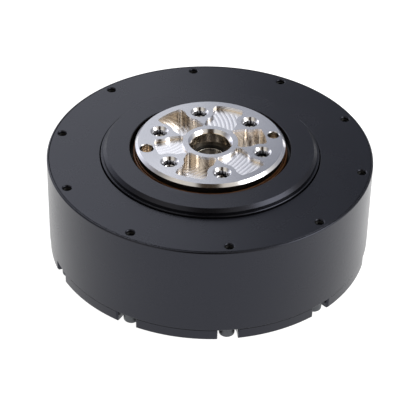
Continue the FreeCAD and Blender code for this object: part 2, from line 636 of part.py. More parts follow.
def make_socket(size, x, contacts):
    """Socket with an open mouth at the back; its contacts stand inside."""
    floor = BOARD_BACK - CONNECTOR_WALL
    inside = size[0] - 2 * CONNECTOR_WALL
    body = block(size[0], size[1], CONNECTOR_BACK, BOARD_BACK, x, SOCKET_Y)
    mouth = block(inside, size[1] - 2 * CONNECTOR_WALL, CONNECTOR_BACK - 1, floor, x, SOCKET_Y)
    body = body.cut(mouth)
    pitch = inside / contacts
    for i in range(contacts):
        pin_x = x + pitch * (i - (contacts - 1) / 2)
        width = pitch * CONTACT_SHARE
        pin = block(width, width, CONNECTOR_BACK + CONTACT_SETBACK, floor, pin_x, SOCKET_Y)
        body = body.fuse(pin)
    return body


def hung_block(size):
    """Box under the back of the board."""
    return block(size[0], size[1], BOARD_BACK - size[2], BOARD_BACK)


def make_board_chips():
    """Power transistors, controller and capacitors on the back of the board."""
    transistor = hung_block(TRANSISTOR_SIZE)
    transistors = []
    for inset in TRANSISTOR_INSETS:
        transistors += [placed(transistor, BOARD_RADIUS - inset, a) for a in TRANSISTOR_ANGLES]
    controller = hung_block(CONTROLLER_SIZE)
    controller.translate(FreeCAD.Vector(0, CONTROLLER_Y, 0))
    capacitor = hung_block(CAPACITOR_SIZE)
    capacitors = [placed(capacitor, BOARD_RADIUS - CAPACITOR_INSET, a) for a in CAPACITOR_ANGLES]
    return (Part.makeCompound(transistors), controller, Part.makeCompound(capacitors))


def make_phase_leads():
    """Stiff leads from the windings down to the board."""
    lead = rod(LEAD_RADIUS, BOARD_FRONT, STATOR_BACK - COIL_OVERHANG)
    return Part.makeCompound([placed(lead, LEAD_CIRCLE, a) for a in lead_angles()])


# ---- motor --------------------------------------------------------------------------
def make_stator_core():
    """Laminated ring with inward T-shaped teeth."""
    front = STATOR_FRONT
    outer = SHELL_BORE_RADIUS - PRESS_GAP
    yoke_inner = outer - STATOR_YOKE
    core = ring(outer, yoke_inner, STATOR_BACK, front)
    tip_radius = STATOR_BORE_RADIUS + TOOTH_TIP_DEPTH
    stem = block(yoke_inner - tip_radius + 2.0, TOOTH_WIDTH, STATOR_BACK, front,
                 x=(yoke_inner + tip_radius) / 2)
    head_zone = ring(tip_radius, STATOR_BORE_RADIUS, STATOR_BACK, front)
    head = block(TOOTH_TIP_DEPTH * 6, TOOTH_TIP_WIDTH, STATOR_BACK, front, x=STATOR_BORE_RADIUS)
    tooth = stem.cut(rod(tip_radius - 0.3, STATOR_BACK - 1, front + 1))
    tooth = tooth.fuse(head.common(head_zone))
    return core.fuse(around(tooth, 0, TOOTH_COUNT, 0.0)).removeSplitter()


def make_stator_coils():
    """One closed winding round every tooth."""
    front = STATOR_FRONT
    inner = STATOR_BORE_RADIUS + TOOTH_TIP_DEPTH + COIL_END_GAPS[0]
    outer = SHELL_BORE_RADIUS - STATOR_YOKE - COIL_END_GAPS[1]
    depth = outer - inner
    middle = (outer + inner) / 2
    hole_width = TOOTH_WIDTH + 2 * COIL_GAP
    winding = block(depth, hole_width + 2 * COIL_BUILD, STATOR_BACK - COIL_OVERHANG,
                    front + COIL_OVERHANG, x=middle)
    upright = [edge for edge in winding.Edges
               if abs(edge.Vertexes[0].X - edge.Vertexes[-1].X) > 1.0]
    winding = winding.makeFillet(COIL_BUILD * 0.7, upright)
    window = block(depth + 2, hole_width, STATOR_BACK - COIL_GAP, front + COIL_GAP, x=middle)
    winding = winding.cut(window)
    return Part.makeCompound(around(winding, 0, TOOTH_COUNT, 0.0))


def make_rotor_cup():
    """Rotor back iron with its web, which has windows."""
    outer = MAGNET_INNER - PRESS_GAP
    body = revolved([
        (HUB_PILOT_RADIUS, ROTOR_BACK), (outer, ROTOR_BACK), (outer, ROTOR_FRONT),
        (ROTOR_INNER, ROTOR_FRONT), (ROTOR_INNER, ROTOR_WEB_FRONT),
        (HUB_PILOT_RADIUS, ROTOR_WEB_FRONT),
    ])
    window = rod(ROTOR_WINDOW_RADIUS, ROTOR_BACK - 1, ROTOR_WEB_FRONT + 1)
    tools = around(window, ROTOR_WINDOW_CIRCLE, ROTOR_WINDOW_COUNT, 0.0)
    hole = rod(M25_RADIUS + PRESS_GAP, ROTOR_BACK - 1, ROTOR_WEB_FRONT + 1)
    tools += around(hole, HUB_SCREW_CIRCLE, HUB_SCREW_COUNT,
                                    HUB_FIRST_SCREW_ANGLE)
    return body.cut(tools)


def make_rotor_magnets():
    """Curved magnets, glued round the rotor."""
    half = math.pi / POLE_COUNT * MAGNET_FILL
    outline = [
        Part.Arc(polar(MAGNET_INNER, -half), polar(MAGNET_INNER, 0), polar(MAGNET_INNER, half)),
        Part.LineSegment(polar(MAGNET_INNER, half), polar(MAGNET_OUTER, half)),
        Part.Arc(polar(MAGNET_OUTER, half), polar(MAGNET_OUTER, 0), polar(MAGNET_OUTER, -half)),
        Part.LineSegment(polar(MAGNET_OUTER, -half), polar(MAGNET_INNER, -half)),
    ]
    face = Part.Face(Part.Wire([edge.toShape() for edge in outline]))
    back = STATOR_BACK - MAGNET_EXTRA / 2
    length = STATOR_FRONT - STATOR_BACK + MAGNET_EXTRA
    magnet = lifted(face.extrude(FreeCAD.Vector(0, 0, length)), back)
    return Part.makeCompound(around(magnet, 0, POLE_COUNT, 0.0))


def make_rotor_hub():
    """Steel hub that carries the rotor cup, runs in the bearing and holds the sun shaft."""
    journal = ROTOR_BEARING_BORE - PRESS_GAP
    pilot = HUB_PILOT_RADIUS - SLIP_GAP
    shoulder = ROTOR_BEARING_BORE + HUB_SHOULDER
    pilot_back = ROTOR_WEB_FRONT - HUB_PILOT_HEIGHT
    body = revolved([
        (HUB_BORE_RADIUS, HUB_BACK), (journal, HUB_BACK), (journal, ROTOR_BEARING_FRONT),
        (shoulder, ROTOR_BEARING_FRONT), (shoulder, ROTOR_WEB_FRONT),
        (pilot - HUB_PILOT_WALL, ROTOR_WEB_FRONT),
        (pilot - HUB_PILOT_WALL, pilot_back), (pilot, pilot_back),
        (pilot, ROTOR_WEB_FRONT), (HUB_FLANGE_RADIUS, ROTOR_WEB_FRONT),
        (HUB_FLANGE_RADIUS, HUB_FRONT), (HUB_BORE_RADIUS, HUB_FRONT),
    ])
    hole = countersunk_hole(M25_RADIUS + PRESS_GAP, HUB_FLANGE + 1)
    hole.rotate(ORIGIN, FreeCAD.Vector(1, 0, 0), 180)
    hole = lifted(hole, HUB_FRONT)
    return body.cut(around(hole, HUB_SCREW_CIRCLE, HUB_SCREW_COUNT,
                                    HUB_FIRST_SCREW_ANGLE))


def make_hub_screws():
    """Countersunk screws that join the hub and the rotor cup."""
    screw = countersunk_screw(M25_RADIUS, HUB_FLANGE + ROTOR_WEB - 0.2)
    screw.rotate(ORIGIN, FreeCAD.Vector(1, 0, 0), 180)
    screw = lifted(screw, HUB_FRONT)
    return Part.makeCompound(around(screw, HUB_SCREW_CIRCLE, HUB_SCREW_COUNT,
                                    HUB_FIRST_SCREW_ANGLE))


def make_rotor_bearing():
    """Inner ring, outer ring and balls of the rotor's ball bearing."""
    middle = (ROTOR_BEARING_BACK + ROTOR_BEARING_FRONT) / 2
    groove = Part.makeTorus(ROTOR_BALL_CIRCLE, ROTOR_BALL_RADIUS + RACE_GAP,
                            FreeCAD.Vector(0, 0, middle))
    inner = ring(ROTOR_BALL_CIRCLE - RACE_SHOULDER, ROTOR_BEARING_BORE,
                 ROTOR_BEARING_BACK, ROTOR_BEARING_FRONT).cut(groove)
    outer = ring(ROTOR_BEARING_OUTER - PRESS_GAP, ROTOR_BALL_CIRCLE + RACE_SHOULDER,
                 ROTOR_BEARING_BACK, ROTOR_BEARING_FRONT).cut(groove)
    ball = Part.makeSphere(ROTOR_BALL_RADIUS, FreeCAD.Vector(0, 0, middle))
    balls = Part.makeCompound(around(ball, ROTOR_BALL_CIRCLE, ROTOR_BALL_COUNT, 0.0))
    return inner, outer, balls


# ---- gear stage ------------------------------------------------------------------------
def make_sun_gear():
    """Sun gear cut on its shaft; the front journal runs in the output flange."""
    back = PLANET_BACK - SUN_FACE_EXTRA
    front = PLANET_FRONT + SUN_FACE_EXTRA
    teeth = gear(SUN_TEETH, SUN_ROOT, SUN_TIP, HALF_PITCH - BACKLASH, SUN_PHASE, back, front)
    shank = HUB_BORE_RADIUS - PRESS_GAP
    magnet_front = HUB_BACK + ENCODER_MAGNET_HEIGHT
    journal = SUN_JOURNAL_RADIUS - RUNNING_GAP
    shaft = revolved([
        (0, magnet_front), (shank, magnet_front), (shank, HUB_FRONT),
        (SUN_ROOT, HUB_FRONT), (SUN_ROOT, front - 0.5), (journal, front),
        (journal, SUN_JOURNAL_TOP - 0.5), (journal - 0.5, SUN_JOURNAL_TOP),
        (0, SUN_JOURNAL_TOP),
    ])
    return teeth.fuse(shaft)


def make_planet(index):
    """One planet gear and its bush."""
    angle = FIRST_PLANET_ANGLE + 360.0 / PLANET_COUNT * index
    bore = PIN_RADIUS + RUNNING_GAP + BUSH_WALL
    phase = planet_phase(angle) - angle
    wheel = gear(PLANET_TEETH, PLANET_ROOT, PLANET_TIP, HALF_PITCH - BACKLASH, phase,
                 PLANET_BACK, PLANET_FRONT)
    wheel = wheel.cut(rod(bore, PLANET_BACK - 1, PLANET_FRONT + 1))
    bush = ring(bore - PRESS_GAP, PIN_RADIUS + RUNNING_GAP, PLANET_BACK, PLANET_FRONT)
    return placed(wheel, CENTRE_DISTANCE, angle), placed(bush, CENTRE_DISTANCE, angle)


def make_ring_gear():
    """Internal gear, seated in the gearbox housing against the bearing."""
    tip = MODULE * (RING_TEETH / 2 - ADDENDUM)
    outer = TUBE_BORE_RADIUS - PRESS_GAP
    body = rod(outer, RING_GEAR_BACK, RING_GEAR_FRONT)
    spaces = gear(RING_TEETH, tip, RING_GEAR_ROOT, HALF_PITCH + BACKLASH, ring_gear_phase(),
                  RING_GEAR_BACK - 1, RING_GEAR_FRONT + 1)
    relief = rod(outer - RING_GEAR_LIP, RING_GEAR_FRONT - RING_GEAR_RELIEF,
                 RING_GEAR_FRONT + 1)
    return body.cut([spaces, relief] + ring_gear_dowel_tools(PRESS_GAP))


def ring_gear_dowel_tools(gap):
    """Dowels half in the ring gear and half in the housing, grown by a gap."""
    dowel = rod(DOWEL_RADIUS + gap, RING_GEAR_BACK - gap, RING_GEAR_BACK + DOWEL_LENGTH + gap)
    return around(dowel, TUBE_BORE_RADIUS, PLANET_COUNT, RIM_FIRST_ANGLE)


def snap_ring(outer, width, bottom, top, opening_angle):
    """Open spring ring."""
    body = ring(outer, outer - width, bottom, top)
    half = math.radians(SNAP_RING_GAP_ANGLE / 2)
    reach = 2 * outer
    wedge = Part.Face(Part.makePolygon([ORIGIN, polar(reach, -half), polar(reach, half), ORIGIN]))
    wedge = lifted(wedge.extrude(FreeCAD.Vector(0, 0, top - bottom + 2)), bottom - 1)
    wedge.rotate(ORIGIN, AXIS, opening_angle)
    return body.cut(wedge)


def make_gearbox_housing():
    """Tube round the gears with the flange under the front cover and the raised ring."""
    profile = [
        (TUBE_BORE_RADIUS, TUBE_BACK), (TUBE_RADIUS, TUBE_BACK),
        (TUBE_RADIUS, HOUSING_FLANGE_BACK),
        (HOUSING_FLANGE_RADIUS, HOUSING_FLANGE_BACK),
        (HOUSING_FLANGE_RADIUS, COVER_BACK), (LEDGE_RADIUS, COVER_BACK),
        (LEDGE_RADIUS, BODY_HEIGHT + LEDGE_HEIGHT - EDGE_BREAK),
        (LEDGE_RADIUS - EDGE_BREAK, BODY_HEIGHT + LEDGE_HEIGHT),
        (RING_RADIUS, BODY_HEIGHT + LEDGE_HEIGHT), (RING_RADIUS, RING_TOP - RING_CHAMFER),
        (RING_RADIUS - RING_CHAMFER, RING_TOP), (RING_BORE_RADIUS + EDGE_BREAK, RING_TOP),
        (RING_BORE_RADIUS, RING_TOP - EDGE_BREAK), (RING_BORE_RADIUS, SEAL_FRONT),
        (TUBE_BORE_RADIUS, SEAL_FRONT),
    ]
    body = revolved(profile)
    groove_front = RING_GEAR_BACK
    groove = ring(TUBE_BORE_RADIUS + SNAP_RING_GROOVE + 0.1, TUBE_BORE_RADIUS - 1,
                  groove_front - SNAP_RING_THICKNESS - 0.1, groove_front)
    hole = lifted(countersunk_hole(M3_RADIUS + PRESS_GAP, HOUSING_FLANGE + 1),
                  HOUSING_FLANGE_BACK)
    tools = around(hole, HOUSING_SCREW_CIRCLE, HOUSING_SCREW_COUNT, RIM_FIRST_ANGLE)
    return body.cut([groove] + tools + ring_gear_dowel_tools(PRESS_GAP))


def make_gearbox_screws():
    """Countersunk screws from inside, through the housing flange into the cover."""
    screw = lifted(countersunk_screw(M3_RADIUS, HOUSING_SCREW_LENGTH),
                   HOUSING_FLANGE_BACK)
    return Part.makeCompound(around(screw, HOUSING_SCREW_CIRCLE, HOUSING_SCREW_COUNT,
                                    RIM_FIRST_ANGLE))


def make_carrier_plate():
    """Back plate of the planet carrier."""
    body = ring(CARRIER_RADIUS, CARRIER_BORE, CARRIER_PLATE_BACK,
                CARRIER_PLATE_FRONT)
    pin_hole = rod(PIN_RADIUS + PRESS_GAP, CARRIER_PLATE_BACK - 1, CARRIER_PLATE_FRONT + 1)
    tools = around(pin_hole, CENTRE_DISTANCE, PLANET_COUNT, FIRST_PLANET_ANGLE)
    screw_hole = lifted(countersunk_hole(M4_RADIUS + PRESS_GAP, CARRIER_PLATE + 1),
                        CARRIER_PLATE_BACK)
    tools += around(screw_hole, LEG_SCREW_CIRCLE, PLANET_COUNT, FLANGE_REST_ANGLE)
    return body.cut(tools)


def make_carrier_screws():
    """Countersunk screws that hold the carrier plate on the legs."""
    screw = lifted(countersunk_screw(M4_RADIUS, LEG_SCREW_LENGTH), CARRIER_PLATE_BACK)
    return Part.makeCompound(around(screw, LEG_SCREW_CIRCLE, PLANET_COUNT, FLANGE_REST_ANGLE))


def make_planet_pins():
    """Pins that carry the planets between the plate and the flange."""
    pin = rod(PIN_RADIUS, CARRIER_PLATE_BACK, CARRIER_FACE + PIN_DEPTH)
    return Part.makeCompound(around(pin, CENTRE_DISTANCE, PLANET_COUNT, FIRST_PLANET_ANGLE))


def make_thrust_washers():
    """Washers on both sides of each planet."""
    low = ring(WASHER_RADIUS, PIN_RADIUS + PRESS_GAP, CARRIER_PLATE_FRONT,
               CARRIER_PLATE_FRONT + WASHER_THICKNESS)
    high = ring(WASHER_RADIUS, PIN_RADIUS + PRESS_GAP, CARRIER_FACE - WASHER_THICKNESS,
                CARRIER_FACE)
    washers = around(low, CENTRE_DISTANCE, PLANET_COUNT, FIRST_PLANET_ANGLE)
    washers += around(high, CENTRE_DISTANCE, PLANET_COUNT, FIRST_PLANET_ANGLE)
    return Part.makeCompound(washers)


# ---- output bearing and seal ---------------------------------------------------------
def crossed_groove(half_side):
    """Tool for the square V groove that the crossed rollers run in."""
    reach = half_side * math.sqrt(2)
    return revolved([
        (ROLLER_CIRCLE - reach, ROLLER_MIDDLE), (ROLLER_CIRCLE, ROLLER_MIDDLE - reach),
        (ROLLER_CIRCLE + reach, ROLLER_MIDDLE), (ROLLER_CIRCLE, ROLLER_MIDDLE + reach),
    ])


def make_output_bearing():
    """Crossed roller bearing: two rings, rollers turned by turns, and spacers."""
    groove = crossed_groove(ROLLER_RADIUS + ROLLER_GAP)
    half_gap = RING_OPEN_GAP / 2
    inner = ring(ROLLER_CIRCLE - half_gap, BEARING_BORE_RADIUS + PRESS_GAP,
                 CARRIER_FACE, FLANGE_SHOULDER).cut(groove)
    outer = ring(TUBE_BORE_RADIUS - PRESS_GAP, ROLLER_CIRCLE + half_gap,
                 CARRIER_FACE, FLANGE_SHOULDER).cut(groove)
    rollers = []
    spacers = []
    step = 360.0 / ROLLER_COUNT
    room = math.radians(step) * ROLLER_CIRCLE - 2 * ROLLER_RADIUS
    length = room * SPACER_FILL
    for i in range(ROLLER_COUNT):
        roller = Part.makeCylinder(ROLLER_RADIUS, 2 * ROLLER_RADIUS,
                                   FreeCAD.Vector(0, 0, -ROLLER_RADIUS))
        tilt = 45.0 if i % 2 else -45.0
        roller.rotate(ORIGIN, FreeCAD.Vector(0, 1, 0), tilt)
        rollers.append(placed(lifted(roller, ROLLER_MIDDLE), ROLLER_CIRCLE, step * i))
        spacer = Part.makeCylinder(SPACER_RADIUS, length, FreeCAD.Vector(0, -length / 2, 0),
                                   FreeCAD.Vector(0, 1, 0))
        spacers.append(placed(lifted(spacer, ROLLER_MIDDLE), ROLLER_CIRCLE, step * (i + 0.5)))
    return inner, outer, Part.makeCompound(rollers), Part.makeCompound(spacers)


def make_output_seal():
    """Brown rubber lip seal between the flange and the raised ring."""
    back = FLANGE_SHOULDER + SEAL_BACK_GAP
    outer = TUBE_BORE_RADIUS - PRESS_GAP
    lip = FLANGE_RADIUS + RUNNING_GAP
    lip_back = SEAL_FRONT - SEAL_LIP
    channel = SEAL_FRONT - SEAL_CHANNEL
    return revolved([
        (FLANGE_RADIUS + SEAL_NECK, back), (outer, back), (outer, SEAL_FRONT),
        (RING_BORE_RADIUS, SEAL_FRONT), (RING_BORE_RADIUS, channel),
        (lip + SEAL_LIP_WIDTH, channel), (lip + SEAL_LIP_WIDTH * 2 / 3, SEAL_FRONT),
        (lip + SEAL_LIP_WIDTH / 3, SEAL_FRONT), (lip, SEAL_FRONT - SEAL_LIP_WIDTH / 3),
        (lip, lip_back), (FLANGE_RADIUS + SEAL_NECK, lip_back - SEAL_LIP / 2),
    ])


# ---- output flange --------------------------------------------------------------------
def pocket_tool(outer_radius, depth):
    """Tool for one milled pocket on the X axis, waisted by the screw bosses."""
    floor = FLANGE_TOP - depth
    top = FLANGE_TOP + 1
    zone = ring(outer_radius, POCKET_INNER_RADIUS, floor, top)
    strip = block(2 * outer_radius, 2 * POCKET_HALF_WIDTH, floor, top, x=outer_radius)
    pocket = zone.common(strip)
    boss = rod(POCKET_BOSS_RADIUS, floor - 1, top + 1)
    for side in (-30.0, 30.0):
        pocket = pocket.cut(placed(boss, FLANGE_SCREW_CIRCLE, side))
    upright = []
    for edge in pocket.Edges:
        low, high = edge.BoundBox.ZMin, edge.BoundBox.ZMax
        flat = edge.BoundBox.XLength + edge.BoundBox.YLength
        if high - low > depth and flat < 0.01:
            upright.append(edge)
    return pocket.makeFillet(POCKET_CORNER, upright)


def make_output_flange():
    """Machined output flange, which is the planet carrier's front half."""
    body = revolved([
        (PILOT_RADIUS, CARRIER_FACE), (BEARING_BORE_RADIUS, CARRIER_FACE),
        (BEARING_BORE_RADIUS, FLANGE_SHOULDER), (FLANGE_RADIUS, FLANGE_SHOULDER),
        (FLANGE_RADIUS, FLANGE_TOP - FLANGE_CHAMFER),
        (FLANGE_RADIUS - FLANGE_CHAMFER, FLANGE_TOP),
        (PILOT_RADIUS + PILOT_CHAMFER, FLANGE_TOP), (PILOT_RADIUS, FLANGE_TOP - PILOT_CHAMFER),
    ])
    leg_zone = ring(CARRIER_RADIUS, LEG_INNER_RADIUS, CARRIER_PLATE_FRONT, CARRIER_FACE)
    planet_room = rod(PLANET_TIP + LEG_CLEARANCE, CARRIER_PLATE_FRONT - 1, CARRIER_FACE + 1)
    legs = leg_zone.cut(around(planet_room, CENTRE_DISTANCE, PLANET_COUNT, FIRST_PLANET_ANGLE))
    body = body.fuse(legs.Solids)
    screw_hole = chamfered_hole(M5_TAP_RADIUS, FLANGE_TOP, FLANGE_TOP - M5_DEPTH, M5_CHAMFER)
    tools = around(screw_hole, FLANGE_SCREW_CIRCLE, FLANGE_SCREW_COUNT, FLANGE_SCREW_ANGLE)
    for i, radius in enumerate(DOWEL_HOLE_RADII):
        dowel_hole = chamfered_hole(radius, FLANGE_TOP, FLANGE_TOP - DOWEL_HOLE_DEPTH,
                                    DOWEL_HOLE_CHAMFER)
        tools.append(placed(dowel_hole, DOWEL_HOLE_CIRCLE, FLANGE_REST_ANGLE + 180.0 * i))
    for i in range(FLANGE_SCREW_COUNT):
        beside_dowel = i % PLANET_COUNT == 0
        outer = SHORT_POCKET_OUTER_RADIUS if beside_dowel else POCKET_OUTER_RADIUS
        depth = SHALLOW_POCKET if i % 2 else DEEP_POCKET
        tools.append(placed(pocket_tool(outer, depth), 0, FLANGE_REST_ANGLE + 60.0 * i))
    pin_hole = rod(PIN_RADIUS + PRESS_GAP, CARRIER_FACE - 1, CARRIER_FACE + PIN_DEPTH + 0.1)
    tools += around(pin_hole, CENTRE_DISTANCE, PLANET_COUNT, FIRST_PLANET_ANGLE)
    leg_hole = rod(M4_RADIUS + PRESS_GAP, CARRIER_PLATE_FRONT - 1,
                   CARRIER_PLATE_BACK + LEG_SCREW_LENGTH + 0.5)
    tools += around(leg_hole, LEG_SCREW_CIRCLE, PLANET_COUNT, FLANGE_REST_ANGLE)
    groove = ring(PILOT_RADIUS + CIRCLIP_GROOVE, PILOT_RADIUS - 1,
                  BUSH_FRONT, CIRCLIP_FRONT)
    return body.cut(tools + [groove])


def make_sun_bush():
    """Bush in the flange that carries the front end of the sun shaft."""
    return ring(PILOT_RADIUS - PRESS_GAP, SUN_JOURNAL_RADIUS, CARRIER_FACE + BUSH_END_GAP,
                BUSH_FRONT)


def make_bush_circlip():
    """Open ring in the flange's groove, in front of the bush."""
    return snap_ring(PILOT_RADIUS + CIRCLIP_GROOVE - PRESS_GAP, CIRCLIP_WIDTH,
                     BUSH_FRONT, CIRCLIP_FRONT, CIRCLIP_OPENING_ANGLE)


# ---- assembly ----------------------------------------------------------------------------
def build():
    """All nodes of the actuator by name."""
    nodes = {}
    nodes["rear_cover"] = make_rear_cover()
    nodes["shell"] = make_shell()
    nodes["front_cover"] = make_front_cover()
    nodes["housing_screws"], nodes["housing_screw_washers"] = make_housing_screws()
    nodes["rear_cover_screws"] = make_cover_screws()
    nodes["driver_board"] = make_driver_board()
    nodes["board_screws"] = make_board_screws()
    nodes["power_socket"] = make_socket(POWER_SOCKET, 0.0, 2)
    nodes["signal_socket_left"] = make_socket(SIGNAL_SOCKET, -SIGNAL_X, 4)
    nodes["signal_socket_right"] = make_socket(SIGNAL_SOCKET, SIGNAL_X, 4)
    transistors, controller, capacitors = make_board_chips()
    nodes["power_transistors"] = transistors
    nodes["controller_chip"] = controller
    nodes["board_capacitors"] = capacitors
    size = ENCODER_CHIP_SIZE
    nodes["encoder_chip"] = block(size[0], size[1], BOARD_FRONT, BOARD_FRONT + size[2])
    nodes["phase_leads"] = make_phase_leads()
    nodes["stator_core"] = make_stator_core()
    nodes["stator_coils"] = make_stator_coils()
    nodes["rotor_cup"] = make_rotor_cup()
    nodes["rotor_magnets"] = make_rotor_magnets()
    nodes["rotor_hub"] = make_rotor_hub()
    nodes["hub_screws"] = make_hub_screws()
    nodes["encoder_magnet"] = rod(HUB_BORE_RADIUS - PRESS_GAP, HUB_BACK,
                                  HUB_BACK + ENCODER_MAGNET_HEIGHT)
    bearing_inner, bearing_outer, balls = make_rotor_bearing()
    nodes["rotor_bearing_inner"] = bearing_inner
    nodes["rotor_bearing_outer"] = bearing_outer
    nodes["rotor_bearing_balls"] = balls
    nodes["sun_gear"] = make_sun_gear()
    for index in range(PLANET_COUNT):
        wheel, bush = make_planet(index)
        nodes["planet_gear_%d" % (index + 1)] = wheel
        nodes["planet_bush_%d" % (index + 1)] = bush
    nodes["ring_gear"] = make_ring_gear()
    nodes["ring_gear_dowels"] = Part.makeCompound(ring_gear_dowel_tools(0.0))
    nodes["ring_gear_snap_ring"] = snap_ring(TUBE_BORE_RADIUS + SNAP_RING_GROOVE,
                                             SNAP_RING_WIDTH,
                                             RING_GEAR_BACK - SNAP_RING_THICKNESS,
                                             RING_GEAR_BACK, RIM_FIRST_ANGLE)
    nodes["gearbox_housing"] = make_gearbox_housing()
    nodes["gearbox_screws"] = make_gearbox_screws()
    nodes["carrier_plate"] = make_carrier_plate()
    nodes["carrier_screws"] = make_carrier_screws()
    nodes["planet_pins"] = make_planet_pins()
    nodes["thrust_washers"] = make_thrust_washers()
    ring_inner, ring_outer, rollers, spacers = make_output_bearing()
    nodes["output_bearing_inner"] = ring_inner
    nodes["output_bearing_outer"] = ring_outer
    nodes["output_bearing_rollers"] = rollers
    nodes["output_bearing_spacers"] = spacers
    nodes["output_seal"] = make_output_seal()
    nodes["output_flange"] = make_output_flange()
    nodes["sun_shaft_bush"] = make_sun_bush()
    nodes["bush_circlip"] = make_bush_circlip()
    return nodes


def main():
    """Write one STEP file for each node."""
    os.makedirs("parts", exist_ok=True)
    for name, shape in build().items():
        if not shape.isValid():
            print("not valid:", name)
        shape.exportStep("parts/%s.step" % name)
        print("%-26s %2d solids %10.1f mm3" % (name, len(shape.Solids), shape.Volume))


main()
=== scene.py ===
"""Looks of the robot joint actuator: finishes, edge breaks, threads, screws and studio."""

from __future__ import annotations

import json
import logging
import math
from dataclasses import dataclass
from enum import Enum

import bmesh
import bpy
from mathutils import Matrix, Vector


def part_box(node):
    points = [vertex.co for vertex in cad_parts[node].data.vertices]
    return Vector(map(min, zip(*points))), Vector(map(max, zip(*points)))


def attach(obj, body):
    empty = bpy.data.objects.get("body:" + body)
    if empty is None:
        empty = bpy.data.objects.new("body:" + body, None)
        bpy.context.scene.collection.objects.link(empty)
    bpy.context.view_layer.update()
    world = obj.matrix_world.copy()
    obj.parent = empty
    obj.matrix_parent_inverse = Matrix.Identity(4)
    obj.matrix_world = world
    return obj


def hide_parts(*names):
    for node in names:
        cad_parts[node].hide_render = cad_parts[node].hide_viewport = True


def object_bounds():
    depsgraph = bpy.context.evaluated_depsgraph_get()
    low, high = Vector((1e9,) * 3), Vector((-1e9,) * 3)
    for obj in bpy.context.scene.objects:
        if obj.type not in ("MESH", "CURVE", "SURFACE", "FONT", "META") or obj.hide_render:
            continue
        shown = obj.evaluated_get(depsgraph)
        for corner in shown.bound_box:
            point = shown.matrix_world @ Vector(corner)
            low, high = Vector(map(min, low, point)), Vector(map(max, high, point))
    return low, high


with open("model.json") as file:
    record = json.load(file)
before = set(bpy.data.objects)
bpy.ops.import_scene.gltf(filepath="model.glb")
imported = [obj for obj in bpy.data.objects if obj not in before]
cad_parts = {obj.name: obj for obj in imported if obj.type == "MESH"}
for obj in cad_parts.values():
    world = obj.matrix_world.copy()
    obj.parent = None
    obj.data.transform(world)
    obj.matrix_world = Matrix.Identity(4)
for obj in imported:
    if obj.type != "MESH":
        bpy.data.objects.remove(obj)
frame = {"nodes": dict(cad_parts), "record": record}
CAD_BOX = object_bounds()

MM = 0.001
BEVEL_ANGLE = 30.0       # an edge that turns by more degrees is rounded
SMOOTH_ANGLE = 40.0      # and one that still turns by more after that stays sharp
FLAT_ANGLE = 0.2         # triangles that turn by fewer degrees are one face
MERGE = 1e-6             # corners closer than this, in metres, are one
SMALL_ROUND = 48         # faces round a washer, a thread wall or a centre hole
MIDDLE_ROUND = 64        # faces round a countersink
LARGE_ROUND = 256        # faces round the seal
WAVE_LENGTH = 0.314      # metres between the bands of a wave texture at scale one
STAIN_SCALE = 60.0       # stains some 17 mm across
CLOUD_SCALE = 45.0       # duller and glossier patches some 22 mm across
LOG = logging.getLogger("actuator")
Point = tuple[float, float]


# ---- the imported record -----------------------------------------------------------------
def mount(name: str) -> dict:
    """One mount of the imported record.

    Args:
        name: the mount's name.

    Returns:
        The mount's entry, with its place in metres and its sizes in millimetres.
    """
    return next(m for m in frame["record"]["mounts"] if m["name"] == name)


def flange_rest_angle() -> float:
    """Direction of the dowel holes of the output flange at rest, in radians."""
    place = mount("output_dowel_small")["pos_m"]
    return math.atan2(place[1], place[0])


# ---- node trees ------------------------------------------------------------------------
def add_node(tree: bpy.types.NodeTree, kind: str, settings: dict | None = None,
             inputs: dict | None = None) -> bpy.types.Node:
    """Adds one node, sets its options and fills or links its inputs.

    Args:
        tree: the shader or geometry tree.
        kind: the node's type name.
        settings: attributes of the node.
        inputs: values or output sockets by input name or index.

    Returns:
        The new node.
    """
    node = tree.nodes.new(kind)
    for key, value in (settings or {}).items():
        setattr(node, key, value)
    for key, value in (inputs or {}).items():
        if isinstance(value, bpy.types.NodeSocket):
            tree.links.new(value, node.inputs[key])
        else:
            node.inputs[key].default_value = value
    return node


def linear(code: str) -> tuple[float, float, float, float]:
    """Turns an sRGB hex colour into the linear values that a shader takes.

    Args:
        code: colour such as "3A3B40".

    Returns:
        Red, green, blue and an alpha of one.
    """
    values = []
    for i in (0, 2, 4):
        level = int(code[i:i + 2], 16) / 255
        values.append(level / 12.92 if level <= 0.04045
                      else ((level + 0.055) / 1.055) ** 2.4)
    return (values[0], values[1], values[2], 1.0)


def height_of(tree: bpy.types.NodeTree) -> bpy.types.NodeSocket:
    """Height of the shaded point on the object, in metres."""
    place = add_node(tree, "ShaderNodeTexCoord").outputs["Object"]
    return add_node(tree, "ShaderNodeSeparateXYZ", inputs={0: place}).outputs[2]


# ---- finishes --------------------------------------------------------------------------
class Pattern(Enum):
    """How the surface of a finish was made."""

    BLASTED = "blasted"      # fine even grit in every direction
    TURNED = "turned"        # rings round the main axis
    GROUND = "ground"        # fine lines along the axis, from grinding
    MOULDED = "moulded"      # soft orange-peel of a moulded part
    LAYERED = "layered"      # sheets stacked along the axis
    WOUND = "wound"          # turns of round wire along the axis


